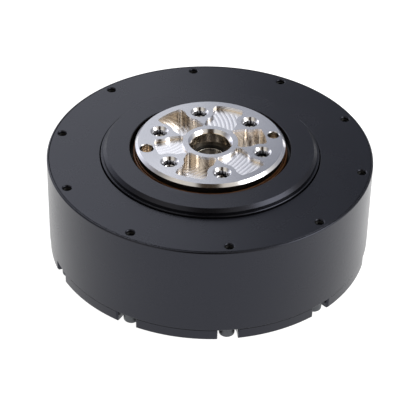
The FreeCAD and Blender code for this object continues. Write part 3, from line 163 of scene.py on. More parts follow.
@dataclass(frozen=True)
class Finish:
    """A finish: what it is made of and how its surface was worked."""

    name: str
    colour: str
    tint: str                # colour of the slight stains or wear in it
    metallic: float
    roughness: float
    pattern: Pattern
    grain: float             # size of the pattern in millimetres
    relief: float            # depth of the pattern in millimetres
    ior: float = 1.5
    spread: float = 0.05     # how far the roughness varies
    sheen: str = "FFFFFF"    # tint of what it mirrors when seen head-on
    clouds: float = 0.0      # slow change of roughness, as where hands have been

    def coordinates(self, tree: bpy.types.NodeTree) -> bpy.types.NodeSocket:
        """Object coordinates, stretched or bent to the direction of the pattern.

        Args:
            tree: the material's tree.

        Returns:
            A vector socket in metres.
        """
        place = add_node(tree, "ShaderNodeTexCoord").outputs["Object"]
        split = add_node(tree, "ShaderNodeSeparateXYZ", inputs={0: place})
        if self.pattern is Pattern.TURNED:
            flat = add_node(tree, "ShaderNodeVectorMath", {"operation": "MULTIPLY"},
                            {0: place, 1: (1.0, 1.0, 0.0)})
            radius = add_node(tree, "ShaderNodeVectorMath", {"operation": "LENGTH"},
                              {0: flat.outputs[0]})
            return add_node(tree, "ShaderNodeCombineXYZ",
                            inputs={0: radius.outputs["Value"],
                                    2: split.outputs[2]}).outputs[0]
        if self.pattern in (Pattern.LAYERED, Pattern.WOUND):
            return add_node(tree, "ShaderNodeCombineXYZ",
                            inputs={2: split.outputs[2]}).outputs[0]
        if self.pattern is Pattern.GROUND:
            return add_node(tree, "ShaderNodeVectorMath", {"operation": "MULTIPLY"},
                            {0: place, 1: (1.0, 1.0, 0.08)}).outputs[0]
        return place

    def height(self, tree: bpy.types.NodeTree) -> bpy.types.NodeSocket:
        """Height of the pattern, from 0 to 1.

        Args:
            tree: the material's tree.

        Returns:
            A value socket.
        """
        along = self.coordinates(tree)
        if self.pattern in (Pattern.LAYERED, Pattern.WOUND):
            profile = "SIN" if self.pattern is Pattern.WOUND else "SAW"
            wave = add_node(tree, "ShaderNodeTexWave",
                            {"wave_type": "BANDS", "bands_direction": "Z",
                             "wave_profile": profile},
                            {"Vector": along, "Scale": WAVE_LENGTH / (self.grain * MM),
                             "Distortion": 0.0})
            return wave.outputs["Fac"]
        detail = 1.0 if self.pattern is Pattern.MOULDED else 4.0
        noise = add_node(tree, "ShaderNodeTexNoise", inputs={
            "Vector": along, "Scale": 1.0 / (self.grain * MM), "Detail": detail,
            "Roughness": 0.6})
        return noise.outputs["Fac"]

    def colours(self, tree: bpy.types.NodeTree) -> bpy.types.NodeSocket:
        """Base colour with its slight stains.

        Args:
            tree: the material's tree.

        Returns:
            A colour socket.
        """
        place = add_node(tree, "ShaderNodeTexCoord").outputs["Object"]
        cloud = add_node(tree, "ShaderNodeTexNoise", inputs={
            "Vector": place, "Scale": STAIN_SCALE, "Detail": 3.0, "Roughness": 0.55})
        return add_node(tree, "ShaderNodeMix", {"data_type": "RGBA"}, {
            0: cloud.outputs["Fac"], 6: linear(self.colour),
            7: linear(self.tint)}).outputs[2]

    def dullness(self, tree: bpy.types.NodeTree, height: bpy.types.NodeSocket
                 ) -> bpy.types.NodeSocket:
        """Roughness, varying with the pattern and slowly over the surface.

        Args:
            tree: the material's tree.
            height: height of the pattern.

        Returns:
            A value socket.
        """
        fine = add_node(tree, "ShaderNodeMapRange", inputs={
            0: height, 3: self.roughness - self.spread, 4: self.roughness + self.spread})
        if not self.clouds:
            return fine.outputs[0]
        place = add_node(tree, "ShaderNodeTexCoord").outputs["Object"]
        slow = add_node(tree, "ShaderNodeTexNoise", inputs={
            "Vector": place, "Scale": CLOUD_SCALE, "Detail": 2.0, "Roughness": 0.5})
        offset = add_node(tree, "ShaderNodeMapRange", inputs={
            0: slow.outputs["Fac"], 1: 0.3, 2: 0.7, 3: -self.clouds, 4: self.clouds})
        return add_node(tree, "ShaderNodeMath", {"operation": "ADD"},
                        {0: fine.outputs[0], 1: offset.outputs[0]}).outputs[0]

    def material(self) -> bpy.types.Material:
        """Builds the material, or gives the one that was already built."""
        made = bpy.data.materials.get(self.name)
        if made:
            return made
        made = bpy.data.materials.new(self.name)
        made.use_nodes = True
        tree = made.node_tree
        tree.nodes.clear()
        height = self.height(tree)
        bump = add_node(tree, "ShaderNodeBump", inputs={
            "Strength": 0.6, "Distance": self.relief * MM, "Height": height})
        shader = add_node(tree, "ShaderNodeBsdfPrincipled", inputs={
            "Base Color": self.colours(tree), "Metallic": self.metallic,
            "Roughness": self.dullness(tree, height), "Normal": bump.outputs[0]})
        if self.metallic < 0.5:
            shader.inputs["IOR"].default_value = self.ior
            shader.inputs["Specular Tint"].default_value = linear(self.sheen)
        self.groove(tree, shader)
        add_node(tree, "ShaderNodeOutputMaterial", inputs={0: shader.outputs[0]})
        return made

    def groove(self, tree: bpy.types.NodeTree, shader: bpy.types.Node) -> None:
        """Gives the finish a direction; most finishes have none.

        Args:
            tree: the material's tree.
            shader: its shader.
        """

    def coat(self, mesh: bpy.types.Mesh) -> None:
        """Makes this the only finish of a mesh."""
        mesh.materials.clear()
        mesh.materials.append(self.material())


@dataclass(frozen=True)
class MilledFace(Finish):
    """Bright aluminium: turned on top, end-milled pocket floors, smooth bored walls."""

    top: float = 0.0             # height of the turned face
    skin: float = 0.4            # millimetres below it where the pocket floors start
    step: float = 1.5            # step between the cutter's paths in millimetres
    swing: tuple[float, float, float] = (0.021, -0.012, 0.0)
    swell: float = 6.0           # how much deeper the cutter marks than the turning does
    milled: float = 0.30         # roughness of pocket floors
    bored: float = 0.16          # roughness of walls and chamfers
    turned: str = "B4B5BA"       # the turned face, greyer than fresh cuts
    fan: float = 0.6             # how far the turning lines spread the light
    cut: str = "EADFD0"          # pocket walls, warm where the end mill rubbed
    reach: float = 1.0           # how far below the face they start, in millimetres
    level: float = 0.97          # upward part of the normal where the surface is flat

    def flat(self, tree: bpy.types.NodeTree) -> bpy.types.NodeSocket:
        """One where the surface is level, zero on walls and chamfers."""
        facing = add_node(tree, "ShaderNodeTexCoord").outputs["Normal"]
        rise = add_node(tree, "ShaderNodeSeparateXYZ", inputs={0: facing}).outputs[2]
        return add_node(tree, "ShaderNodeMath", {"operation": "GREATER_THAN"},
                        {0: rise, 1: self.level}).outputs[0]

    def below(self, tree: bpy.types.NodeTree, depth: float) -> bpy.types.NodeSocket:
        """One where the surface lies deeper than some millimetres, else zero."""
        return add_node(tree, "ShaderNodeMath", {"operation": "LESS_THAN"},
                        {0: height_of(tree), 1: self.top - depth * MM}).outputs[0]

    def paths(self, tree: bpy.types.NodeTree) -> bpy.types.NodeSocket:
        """Arcs that a milling cutter leaves when it swings round a point."""
        place = add_node(tree, "ShaderNodeTexCoord").outputs["Object"]
        shifted = add_node(tree, "ShaderNodeMapping", inputs={0: place, 1: self.swing})
        return add_node(tree, "ShaderNodeTexWave",
                        {"wave_type": "RINGS", "rings_direction": "Z",
                         "wave_profile": "SIN"},
                        {"Vector": shifted.outputs[0],
                         "Scale": WAVE_LENGTH / (self.step * MM),
                         "Distortion": 5.0, "Detail": 1.0,
                         "Detail Scale": 0.12}).outputs["Fac"]

    def height(self, tree: bpy.types.NodeTree) -> bpy.types.NodeSocket:
        """Rings on the face, arcs of the cutter on the pocket floors.

        Args:
            tree: the material's tree.

        Returns:
            A value socket.
        """
        rings = super().height(tree)
        deeper = add_node(tree, "ShaderNodeMath", {"operation": "MULTIPLY"},
                          {0: self.paths(tree), 1: self.swell})
        level = add_node(tree, "ShaderNodeMix", {"data_type": "FLOAT"},
                         {0: self.below(tree, self.skin), 2: rings, 3: deeper.outputs[0]})
        return add_node(tree, "ShaderNodeMix", {"data_type": "FLOAT"},
                        {0: self.flat(tree), 2: 0.5, 3: level.outputs[0]}).outputs[0]

    def dullness(self, tree: bpy.types.NodeTree, height: bpy.types.NodeSocket
                 ) -> bpy.types.NodeSocket:
        """Satin on the turned face, duller on pocket floors, glossier on the walls.

        Args:
            tree: the material's tree.
            height: height of the pattern.

        Returns:
            A value socket.
        """
        face = super().dullness(tree, height)
        pocket = add_node(tree, "ShaderNodeMapRange", inputs={
            0: height, 2: self.swell, 3: self.milled - 0.1, 4: self.milled + 0.1})
        level = add_node(tree, "ShaderNodeMix", {"data_type": "FLOAT"},
                         {0: self.below(tree, self.skin), 2: face, 3: pocket.outputs[0]})
        return add_node(tree, "ShaderNodeMix", {"data_type": "FLOAT"},
                        {0: self.flat(tree), 2: self.bored, 3: level.outputs[0]}).outputs[0]

    def face(self, tree: bpy.types.NodeTree) -> bpy.types.NodeSocket:
        """One on the turned face, zero on everything below it and on the walls."""
        return add_node(tree, "ShaderNodeMath",
                        {"operation": "SUBTRACT", "use_clamp": True},
                        {0: self.flat(tree), 1: self.below(tree, self.skin)}).outputs[0]

    def colours(self, tree: bpy.types.NodeTree) -> bpy.types.NodeSocket:
        """Bright cuts, warmer pocket walls and a greyer turned face.

        Args:
            tree: the material's tree.

        Returns:
            A colour socket.
        """
        wall = add_node(tree, "ShaderNodeMath",
                        {"operation": "SUBTRACT", "use_clamp": True},
                        {0: self.below(tree, self.reach), 1: self.flat(tree)})
        cuts = add_node(tree, "ShaderNodeMix", {"data_type": "RGBA"}, {
            0: wall.outputs[0], 6: super().colours(tree), 7: linear(self.cut)})
        return add_node(tree, "ShaderNodeMix", {"data_type": "RGBA"}, {
            0: self.face(tree), 6: cuts.outputs[2], 7: linear(self.turned)}).outputs[2]

    def groove(self, tree: bpy.types.NodeTree, shader: bpy.types.Node) -> None:
        """Spreads the light across the turning lines.

        Args:
            tree: the material's tree.
            shader: its shader.
        """
        place = add_node(tree, "ShaderNodeTexCoord").outputs["Object"]
        outward = add_node(tree, "ShaderNodeVectorMath", {"operation": "MULTIPLY"},
                           {0: place, 1: (1.0, 1.0, 0.0)})
        unit = add_node(tree, "ShaderNodeVectorMath", {"operation": "NORMALIZE"},
                        {0: outward.outputs[0]})
        share = add_node(tree, "ShaderNodeMath", {"operation": "MULTIPLY"},
                         {0: self.face(tree), 1: self.fan})
        tree.links.new(unit.outputs[0], shader.inputs["Tangent"])
        tree.links.new(share.outputs[0], shader.inputs["Anisotropic"])


@dataclass(frozen=True)
class TappedHole(Finish):
    """Cut thread in a blind hole, bright at its mouth and darkened further down by painted
    shade.
    """

    mouth: float = 0.0           # height of the mouth
    depth: float = 2.4           # millimetres below the mouth where it is dark
    # colour of the painted shade deep in the hole
    shade_colour: str = "060606"

    def colours(self, tree: bpy.types.NodeTree) -> bpy.types.NodeSocket:
        """Base colour: the stained metal, darkened with depth by painted shade.

        Args:
            tree: the material's tree.

        Returns:
            A colour socket.
        """
        stained = super().colours(tree)
        # painted shade: the thread fades smoothly to near black down the hole
        shade_share = add_node(tree, "ShaderNodeMapRange", {"interpolation_type": "SMOOTHSTEP"},
                        {0: height_of(tree), 1: self.mouth, 2: self.mouth - self.depth * MM,
                         3: 0.0, 4: 1.0})
        return add_node(tree, "ShaderNodeMix", {"data_type": "RGBA"}, {
            0: shade_share.outputs[0], 6: stained, 7: linear(self.shade_colour)}).outputs[2]


FLANGE_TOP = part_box("output_flange")[1].z

# Bead-blasted and black anodised aluminium: a satin, slightly blue black that turns
# pale where it is seen at a flat angle.
BLACK_ANODISED = Finish("black_anodised_aluminium", "08080B", "0C0D11", 0.0, 0.27,
                        Pattern.BLASTED, 0.30, 0.003, ior=1.465, spread=0.02,
                        sheen="E2E7FF", clouds=0.025)
# Face-turned and milled aluminium, left bare: bright, with fine tool marks.
MILLED_ALUMINIUM = MilledFace("milled_aluminium", "E9E9EC", "DCDCE0", 1.0, 0.24,
                              Pattern.TURNED, 0.22, 0.006, spread=0.06, top=FLANGE_TOP)
# Cut threads in the same aluminium, bright at the mouth and darkened below by painted
# shade.
THREADED_ALUMINIUM = TappedHole("threaded_aluminium", "DCDCDE", "C8C8CC", 1.0, 0.16,
                                Pattern.GROUND, 0.20, 0.001, mouth=FLANGE_TOP - 2.6 * MM,
                                depth=3.0)
# Threads cut through the black anodising at the back, dull grey.
REAR_THREAD = Finish("rear_thread_aluminium", "77777A", "5E5E62", 1.0, 0.34,
                     Pattern.GROUND, 0.20, 0.003)
# Threads under the black anodising, near black as painted shade of the deep rim holes.
RIM_THREAD_SHADE = Finish("rim_thread_painted_shade", "050506", "08080A", 0.0, 0.50,
                      Pattern.GROUND, 0.20, 0.003, ior=1.33)
# Black-oxide alloy steel of the cap screws: dark grey with an oily sheen.
BLACK_OXIDE = Finish("black_oxide_steel", "4A4C50", "55585C", 0.85, 0.42,
                     Pattern.BLASTED, 0.25, 0.004)
# Zinc-plated steel: pale and slightly warm.
ZINC_PLATED = Finish("zinc_plated_steel", "BDBDB6", "A8A8A4", 1.0, 0.30,
                     Pattern.BLASTED, 0.30, 0.003)
# Ground bearing steel: bright, with fine lines.
GROUND_STEEL = Finish("ground_bearing_steel", "C4C2BC", "B2B0AA", 1.0, 0.18,
                      Pattern.GROUND, 0.12, 0.002)
# Hardened gear steel: grey, matt flanks.
GEAR_STEEL = Finish("hardened_gear_steel", "8E8C88", "76747A", 1.0, 0.34,
                    Pattern.GROUND, 0.25, 0.003)
# Phosphated spring steel of the open rings: dark grey and matt.
SPRING_STEEL = Finish("phosphated_spring_steel", "3A3937", "2C2B2A", 0.8, 0.48,
                      Pattern.BLASTED, 0.20, 0.004)
# Fluoro rubber of the lip seal: brown and matt.
BROWN_RUBBER = Finish("brown_fluoro_rubber", "6A4218", "583410", 0.0, 0.46,
                      Pattern.MOULDED, 0.60, 0.004, ior=1.45)
# Steel case of the seal, matt and near black, partly as painted shade of the deep channel
# beside the lip.
SEAL_CASE_AND_SHADE = Finish("seal_case_and_painted_shade", "060606", "0A0A0A", 0.0, 0.55,
                       Pattern.MOULDED, 0.40, 0.003, ior=1.38)
# Enamelled copper wire, 0.6 mm thick, laid turn by turn.
COPPER_WIRE = Finish("enamelled_copper_wire", "B4622C", "9A4A1E", 0.9, 0.30,
                     Pattern.WOUND, 0.60, 0.08)
# Electrical steel in sheets of 0.35 mm, stacked.
SHEET_STEEL = Finish("stacked_electrical_steel", "8F9092", "7E7F82", 1.0, 0.36,
                     Pattern.LAYERED, 0.35, 0.02)
# Mild steel of the rotor, oiled and turned.
OILED_STEEL = Finish("oiled_rotor_steel", "9A9A9C", "88888C", 1.0, 0.32,
                     Pattern.TURNED, 0.30, 0.004)
# Nickel plate on the magnets: bright and slightly yellow.
NICKEL_PLATE = Finish("nickel_plate", "C9C4B8", "B8B3A8", 1.0, 0.20,
                      Pattern.BLASTED, 0.50, 0.002)
# Sintered bronze of bushes and washers.
BRONZE = Finish("sintered_bronze", "B08A4E", "9A743C", 1.0, 0.36,
                Pattern.BLASTED, 0.20, 0.006)
# Glass-cloth board with a dark green solder mask.
BOARD_LAMINATE = Finish("green_board_laminate", "10402A", "0C3422", 0.0, 0.34,
                        Pattern.MOULDED, 0.80, 0.006)
# Glass-filled nylon of the sockets: black with a fine texture.
BLACK_NYLON = Finish("glass_filled_nylon", "1C1C1D", "262627", 0.0, 0.50,
                     Pattern.MOULDED, 0.25, 0.006)
# Natural nylon of the bearing's spacers.
NATURAL_NYLON = Finish("natural_nylon", "D8D2C2", "CCC6B4", 0.0, 0.45,
                       Pattern.MOULDED, 0.40, 0.004)
# Epoxy moulding of the chips.
CHIP_EPOXY = Finish("chip_epoxy", "1A1A1C", "202023", 0.0, 0.55,
                    Pattern.MOULDED, 0.15, 0.004)
# Fired ceramic of the capacitors.
CAPACITOR_CERAMIC = Finish("capacitor_ceramic", "9C7A50", "8C6C46", 0.0, 0.42,
                           Pattern.MOULDED, 0.20, 0.003)
# Gold flash over brass on the contacts.
CONTACT_GOLD = Finish("gold_flashed_brass", "D8A848", "C89A40", 1.0, 0.22,
                      Pattern.GROUND, 0.20, 0.002)


# ---- mesh work -------------------------------------------------------------------------
def new_piece(name: str, mesh: bpy.types.Mesh, finish: Finish | None) -> bpy.types.Object:
    """Puts a mesh in the scene under a name and gives it a finish.

    Args:
        name: the piece's name.
        mesh: its mesh, in place.
        finish: its finish, or None for a helper that is thrown away.

    Returns:
        The new object.
    """
    mesh.name = name
    piece = bpy.data.objects.new(name, mesh)
    bpy.context.scene.collection.objects.link(piece)
    if finish:
        finish.coat(mesh)
    return piece


def mesh_from(shape: bmesh.types.BMesh, name: str) -> bpy.types.Mesh:
    """Mesh of a shape that was being worked on.

    Args:
        shape: the shape; it is freed.
        name: the mesh's name.

    Returns:
        The new mesh.
    """
    mesh = bpy.data.meshes.new(name)
    shape.to_mesh(mesh)
    shape.free()
    return mesh


def evaluated(piece: bpy.types.Object) -> bpy.types.Object:
    """Turns a piece and its modifiers into a plain mesh.

    Args:
        piece: the object; its modifiers are removed.

    Returns:
        The same object.
    """
    graph = bpy.context.evaluated_depsgraph_get()
    mesh = bpy.data.meshes.new_from_object(piece.evaluated_get(graph), depsgraph=graph)
    piece.modifiers.clear()
    old = piece.data
    piece.data = mesh
    mesh.name = piece.name
    bpy.data.meshes.remove(old)
    return piece


def smoothed(piece: bpy.types.Object, angle: float = 32.0) -> bpy.types.Object:
    """Shades a piece smooth, with its real edges kept sharp.

    Args:
        piece: the object.
        angle: an edge that turns by more degrees stays sharp.

    Returns:
        The same object.
    """
    mesh = piece.data
    mesh.polygons.foreach_set("use_smooth", [True] * len(mesh.polygons))
    mesh.set_sharp_from_angle(angle=math.radians(angle))
    return piece


def rounded(profile: list[Point], radius: float, steps: int = 3) -> list[Point]:
    """Breaks every corner of a closed outline with a small arc.

    Args:
        profile: corners of the outline.
        radius: radius of the edge break, cut down where the sides are short.
        steps: number of straight steps in each arc.

    Returns:
        The outline with its corners rounded.
    """
    outline: list[Point] = []
    count = len(profile)
    for i, corner in enumerate(profile):
        here = Vector(corner)
        back = Vector(profile[i - 1]) - here
        ahead = Vector(profile[(i + 1) % count]) - here
        reach = min(radius, 0.45 * back.length, 0.45 * ahead.length)
        if back.angle(ahead, math.pi) > math.radians(170):
            outline.append(corner)
            continue
        start = here + back.normalized() * reach
        end = here + ahead.normalized() * reach
        for k in range(steps + 1):
            t = k / steps
            point = start * (1 - t) ** 2 + here * 2 * t * (1 - t) + end * t ** 2
            outline.append((point.x, point.y))
    return outline


def lathed(profile: list[Point], segments: int, ripples: int = 0,
           ripple_depth: float = 0.0, ripple_outside: float = 1e9) -> bpy.types.Mesh:
    """Turns a closed outline round the main axis.

    Args:
        profile: (radius, height) points; a radius of zero lies on the axis.
        segments: faces round the axis.
        ripples: number of grooves round the outside, such as a knurl.
        ripple_depth: depth of those grooves.
        ripple_outside: only points beyond this radius have grooves.

    Returns:
        A closed mesh whose faces point outwards.
    """
    shape = bmesh.new()
    rings = []
    for radius, height in profile:
        if radius < 1e-9:
            rings.append([shape.verts.new((0.0, 0.0, height))])
            continue
        ring = []
        for i in range(segments):
            turn = 2 * math.pi * i / segments
            reach = radius
            if radius > ripple_outside:
                reach -= ripple_depth * (0.5 - 0.5 * math.cos(ripples * turn))
            ring.append(shape.verts.new((reach * math.cos(turn), reach * math.sin(turn),
                                         height)))
        rings.append(ring)
    for low, high in zip(rings, rings[1:] + rings[:1]):
        for i in range(segments):
            corners = [low[i % len(low)], low[(i + 1) % len(low)],
                       high[(i + 1) % len(high)], high[i % len(high)]]
            unique = list(dict.fromkeys(corners))
            if len(unique) > 2:
                shape.faces.new(unique)
    bmesh.ops.recalc_face_normals(shape, faces=shape.faces)
    return mesh_from(shape, "lathed")


def prism(sides: int, radius: float, low: float, high: float) -> bpy.types.Mesh:
    """Upright prism on the main axis.

    Args:
        sides: number of sides.
        radius: distance of its corners from the axis.
        low: height of its foot.
        high: height of its top.

    Returns:
        The mesh.
    """
    return lathed([(0.0, low), (radius, low), (radius, high), (0.0, high)], sides)


def moved(mesh: bpy.types.Mesh, radius: float, angle: float) -> bpy.types.Mesh:
    """Copy of a mesh moved out along X and turned about the main axis.

    Args:
        mesh: the mesh, left as it is.
        radius: how far out.
        angle: how far round, in radians.

    Returns:
        The copy.
    """
    copy = mesh.copy()
    copy.transform(Matrix.Rotation(angle, 4, "Z") @ Matrix.Translation((radius, 0, 0)))
    return copy


def joined(meshes: list[bpy.types.Mesh]) -> bpy.types.Mesh:
    """One mesh that holds all the given ones.

    Args:
        meshes: separate meshes; they are used up.

    Returns:
        The joined mesh.
    """
    shape = bmesh.new()
    for mesh in meshes:
        shape.from_mesh(mesh)
        bpy.data.meshes.remove(mesh)
    return mesh_from(shape, "joined")


def cut_away(piece: bpy.types.Object, tools: list[bpy.types.Mesh]) -> bpy.types.Object:
    """Takes cutting tools out of a piece.

    Args:
        piece: the object.
        tools: closed meshes that don't meet each other; they are used up.

    Returns:
        The same object.
    """
    tool = new_piece("tool", joined(tools), None)
    cut = piece.modifiers.new("cut", "BOOLEAN")
    cut.operation = "DIFFERENCE"
    cut.solver = "MANIFOLD"
    cut.object = tool
    evaluated(piece)
    bpy.data.objects.remove(tool, do_unlink=True)
    return piece


def machined_copy(node: str, name: str, finish: Finish) -> bpy.types.Object:
    """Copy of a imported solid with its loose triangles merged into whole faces.

    Args:
        node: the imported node.
        name: name of the new piece.
        finish: its finish.

    Returns:
        The new object.
    """
    shape = bmesh.new()
    shape.from_mesh(frame["nodes"][node].data)
    bmesh.ops.remove_doubles(shape, verts=shape.verts, dist=MERGE)
    bmesh.ops.dissolve_limit(shape, angle_limit=math.radians(FLAT_ANGLE), verts=shape.verts,
                             edges=shape.edges)
    return new_piece(name, mesh_from(shape, name), finish)


def edges_broken(piece: bpy.types.Object, width: float) -> bpy.types.Object:
    """Rounds every real edge of a machined piece.

    Args:
        piece: the object.
        width: width of the edge break.

    Returns:
        The same object.
    """
    bevel = piece.modifiers.new("edge_break", "BEVEL")
    bevel.width = width
    bevel.segments = 2
    bevel.limit_method = "ANGLE"
    bevel.angle_limit = math.radians(BEVEL_ANGLE)
    bevel.miter_outer = "MITER_ARC"
    evaluated(piece)
    smoothed(piece, SMOOTH_ANGLE)
    weigh = piece.modifiers.new("flat_faces", "WEIGHTED_NORMAL")
    weigh.keep_sharp = True
    return evaluated(piece)


# ---- geometry node trees ---------------------------------------------------------------
def new_tree(name: str, inputs: dict[str, tuple[str, float | int | None]]
             ) -> tuple[bpy.types.NodeTree, bpy.types.Node, bpy.types.Node]:
    """Empty geometry tree with named inputs.

    Args:
        name: the tree's name.
        inputs: socket type and default value by input name.

    Returns:
        The tree, its group input and its group output.
    """
    tree = bpy.data.node_groups.new(name, "GeometryNodeTree")
    tree.interface.new_socket("Geometry", in_out="INPUT", socket_type="NodeSocketGeometry")
    for key, (kind, value) in inputs.items():
        socket = tree.interface.new_socket(key, in_out="INPUT", socket_type=kind)
        if value is not None:
            socket.default_value = value
    tree.interface.new_socket("Geometry", in_out="OUTPUT", socket_type="NodeSocketGeometry")
    return tree, add_node(tree, "NodeGroupInput"), add_node(tree, "NodeGroupOutput")


def end_tree(tree: bpy.types.NodeTree, given: bpy.types.Node, result: bpy.types.Node,
             shape: bpy.types.NodeSocket) -> bpy.types.NodeTree:
    """Ends a tree: makes its copies real and gives them the material.

    Args:
        tree: the tree.
        given: its group input, with a Material socket.
        result: its group output.
        shape: the geometry that it made.

    Returns:
        The same tree.
    """
    real = add_node(tree, "GeometryNodeRealizeInstances", inputs={0: shape})
    dressed = add_node(tree, "GeometryNodeSetMaterial", inputs={
        "Geometry": real.outputs[0], "Material": given.outputs["Material"]})
    tree.links.new(dressed.outputs[0], result.inputs[0])
    return tree


def bolt_circle_tree() -> bpy.types.NodeTree:
    """Tree that sets copies of a fastener on a circle, each turned to face the axis."""
    made = bpy.data.node_groups.get("bolt_circle")
    if made:
        return made
    tree, given, result = new_tree("bolt_circle", {
        "Count": ("NodeSocketInt", 10), "Circle Radius": ("NodeSocketFloat", 0.05),
        "First Angle": ("NodeSocketFloat", 0.0), "Material": ("NodeSocketMaterial", None)})
    circle = add_node(tree, "GeometryNodeMeshCircle", {"fill_type": "NONE"},
                      {"Vertices": given.outputs["Count"],
                       "Radius": given.outputs["Circle Radius"]})
    turn = add_node(tree, "ShaderNodeCombineXYZ", inputs={2: given.outputs["First Angle"]})
    turned = add_node(tree, "GeometryNodeTransform", inputs={
        "Geometry": circle.outputs[0], "Rotation": turn.outputs[0]})
    step = add_node(tree, "ShaderNodeMath", {"operation": "DIVIDE"},
                    {0: 2 * math.pi, 1: given.outputs["Count"]})
    index = add_node(tree, "GeometryNodeInputIndex")
    angle = add_node(tree, "ShaderNodeMath", {"operation": "MULTIPLY_ADD"},
                     {0: index.outputs[0], 1: step.outputs[0],
                      2: given.outputs["First Angle"]})
    facing = add_node(tree, "ShaderNodeCombineXYZ", inputs={2: angle.outputs[0]})
    copies = add_node(tree, "GeometryNodeInstanceOnPoints", inputs={
        "Points": turned.outputs[0], "Instance": given.outputs["Geometry"],
        "Rotation": facing.outputs[0]})
    return end_tree(tree, given, result, copies.outputs[0])


def thread_tree() -> bpy.types.NodeTree:
    """Tree that winds the ridge of a screw thread."""
    made = bpy.data.node_groups.get("thread")
    if made:
        return made
    tree, given, result = new_tree("thread", {
        "Radius": ("NodeSocketFloat", 0.002), "Ridge": ("NodeSocketFloat", 0.0003),
        "Pitch": ("NodeSocketFloat", 0.0008), "Turns": ("NodeSocketFloat", 8.0),
        "Foot": ("NodeSocketFloat", 0.0), "Material": ("NodeSocketMaterial", None)})
    rise = add_node(tree, "ShaderNodeMath", {"operation": "MULTIPLY"},
                    {0: given.outputs["Pitch"], 1: given.outputs["Turns"]})
    helix = add_node(tree, "GeometryNodeCurveSpiral", inputs={
        "Resolution": 24, "Rotations": given.outputs["Turns"],
        "Start Radius": given.outputs["Radius"], "End Radius": given.outputs["Radius"],
        "Height": rise.outputs[0]})
    upright = add_node(tree, "GeometryNodeSetCurveNormal", {"mode": "Z_UP"},
                       {"Curve": helix.outputs[0]})
    ridge = add_node(tree, "GeometryNodeCurvePrimitiveCircle", {"mode": "RADIUS"},
                     {"Resolution": 4, "Radius": given.outputs["Ridge"]})
    swept = add_node(tree, "GeometryNodeCurveToMesh", inputs={
        "Curve": upright.outputs[0], "Profile Curve": ridge.outputs[0], "Fill Caps": True})
    foot = add_node(tree, "ShaderNodeCombineXYZ", inputs={2: given.outputs["Foot"]})
    lifted = add_node(tree, "GeometryNodeTransform", inputs={
        "Geometry": swept.outputs[0], "Translation": foot.outputs[0]})
    return end_tree(tree, given, result, lifted.outputs[0])


def grown(piece: bpy.types.Object, tree: bpy.types.NodeTree, **values: object
          ) -> bpy.types.Object:
    """Runs a geometry tree on a piece and keeps the plain mesh.

    Args:
        piece: the object.
        tree: the tree.
        values: inputs by name, with underscores for spaces.

    Returns:
        The same object.
    """
    runner = piece.modifiers.new(tree.name, "NODES")
    runner.node_group = tree
    names = {item.name: item.identifier for item in tree.interface.items_tree
             if item.in_out == "INPUT"}
    for key, value in values.items():
        runner[names[key.replace("_", " ")]] = value
    return evaluated(piece)


def on_circle(piece: bpy.types.Object, count: int, radius: float, first: float,
              finish: Finish) -> bpy.types.Object:
    """Repeats a fastener round the main axis.

    Args:
        piece: the fastener, built on the main axis.
        count: how many.
        radius: radius of the circle.
        first: direction of the first one, in radians.
        finish: finish of them all.

    Returns:
        The same object, as one plain mesh.
    """
    return grown(piece, bolt_circle_tree(), Count=count, Circle_Radius=radius,
                 First_Angle=first, Material=finish.material())


def thread(name: str, crest: float, root: float, pitch: float, turns: float, foot: float,
           finish: Finish) -> bpy.types.Object:
    """Ridge of an internal thread on the main axis.

    Args:
        name: name of the new piece.
        crest: smallest radius of the thread.
        root: largest radius of the thread.
        pitch: rise of one turn.
        turns: number of turns.
        foot: height where the ridge starts.
        finish: its finish.

    Returns:
        The new object.
    """
    piece = new_piece(name, bpy.data.meshes.new(name), finish)
    return grown(piece, thread_tree(), Radius=root, Ridge=root - crest, Pitch=pitch,
                 Turns=turns, Foot=foot, Material=finish.material())


def hang(piece: bpy.types.Object, body: str, slot: str | None, *nodes: str) -> None:
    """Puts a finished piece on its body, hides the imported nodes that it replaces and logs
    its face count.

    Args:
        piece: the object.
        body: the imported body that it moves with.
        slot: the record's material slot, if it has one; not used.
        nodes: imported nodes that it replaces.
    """
    if not piece.data.has_custom_normals:
        smoothed(piece)
    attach(piece, body)
    if nodes:
        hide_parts(*nodes)
    LOG.info("%s: %d faces", piece.name, len(piece.data.polygons))


# ---- sub-assemblies --------------------------------------------------------------------
@dataclass
class Housing:
    """Shell, covers and the raised ring of the gearbox housing, all black."""

    shell_edge: float = 0.20 * MM
    cover_edge: float = 0.08 * MM
    ring_edge: float = 0.18 * MM

    def build(self) -> None:
        """Copies the machined solids and breaks their edges."""
        for node, edge in (("shell", self.shell_edge), ("front_cover", self.cover_edge),
                           ("rear_cover", self.cover_edge),
                           ("gearbox_housing", self.ring_edge)):
            piece = machined_copy(node, node + "_machined", BLACK_ANODISED)
            edges_broken(piece, edge)
            hang(piece, "housing", "black_anodised", node)


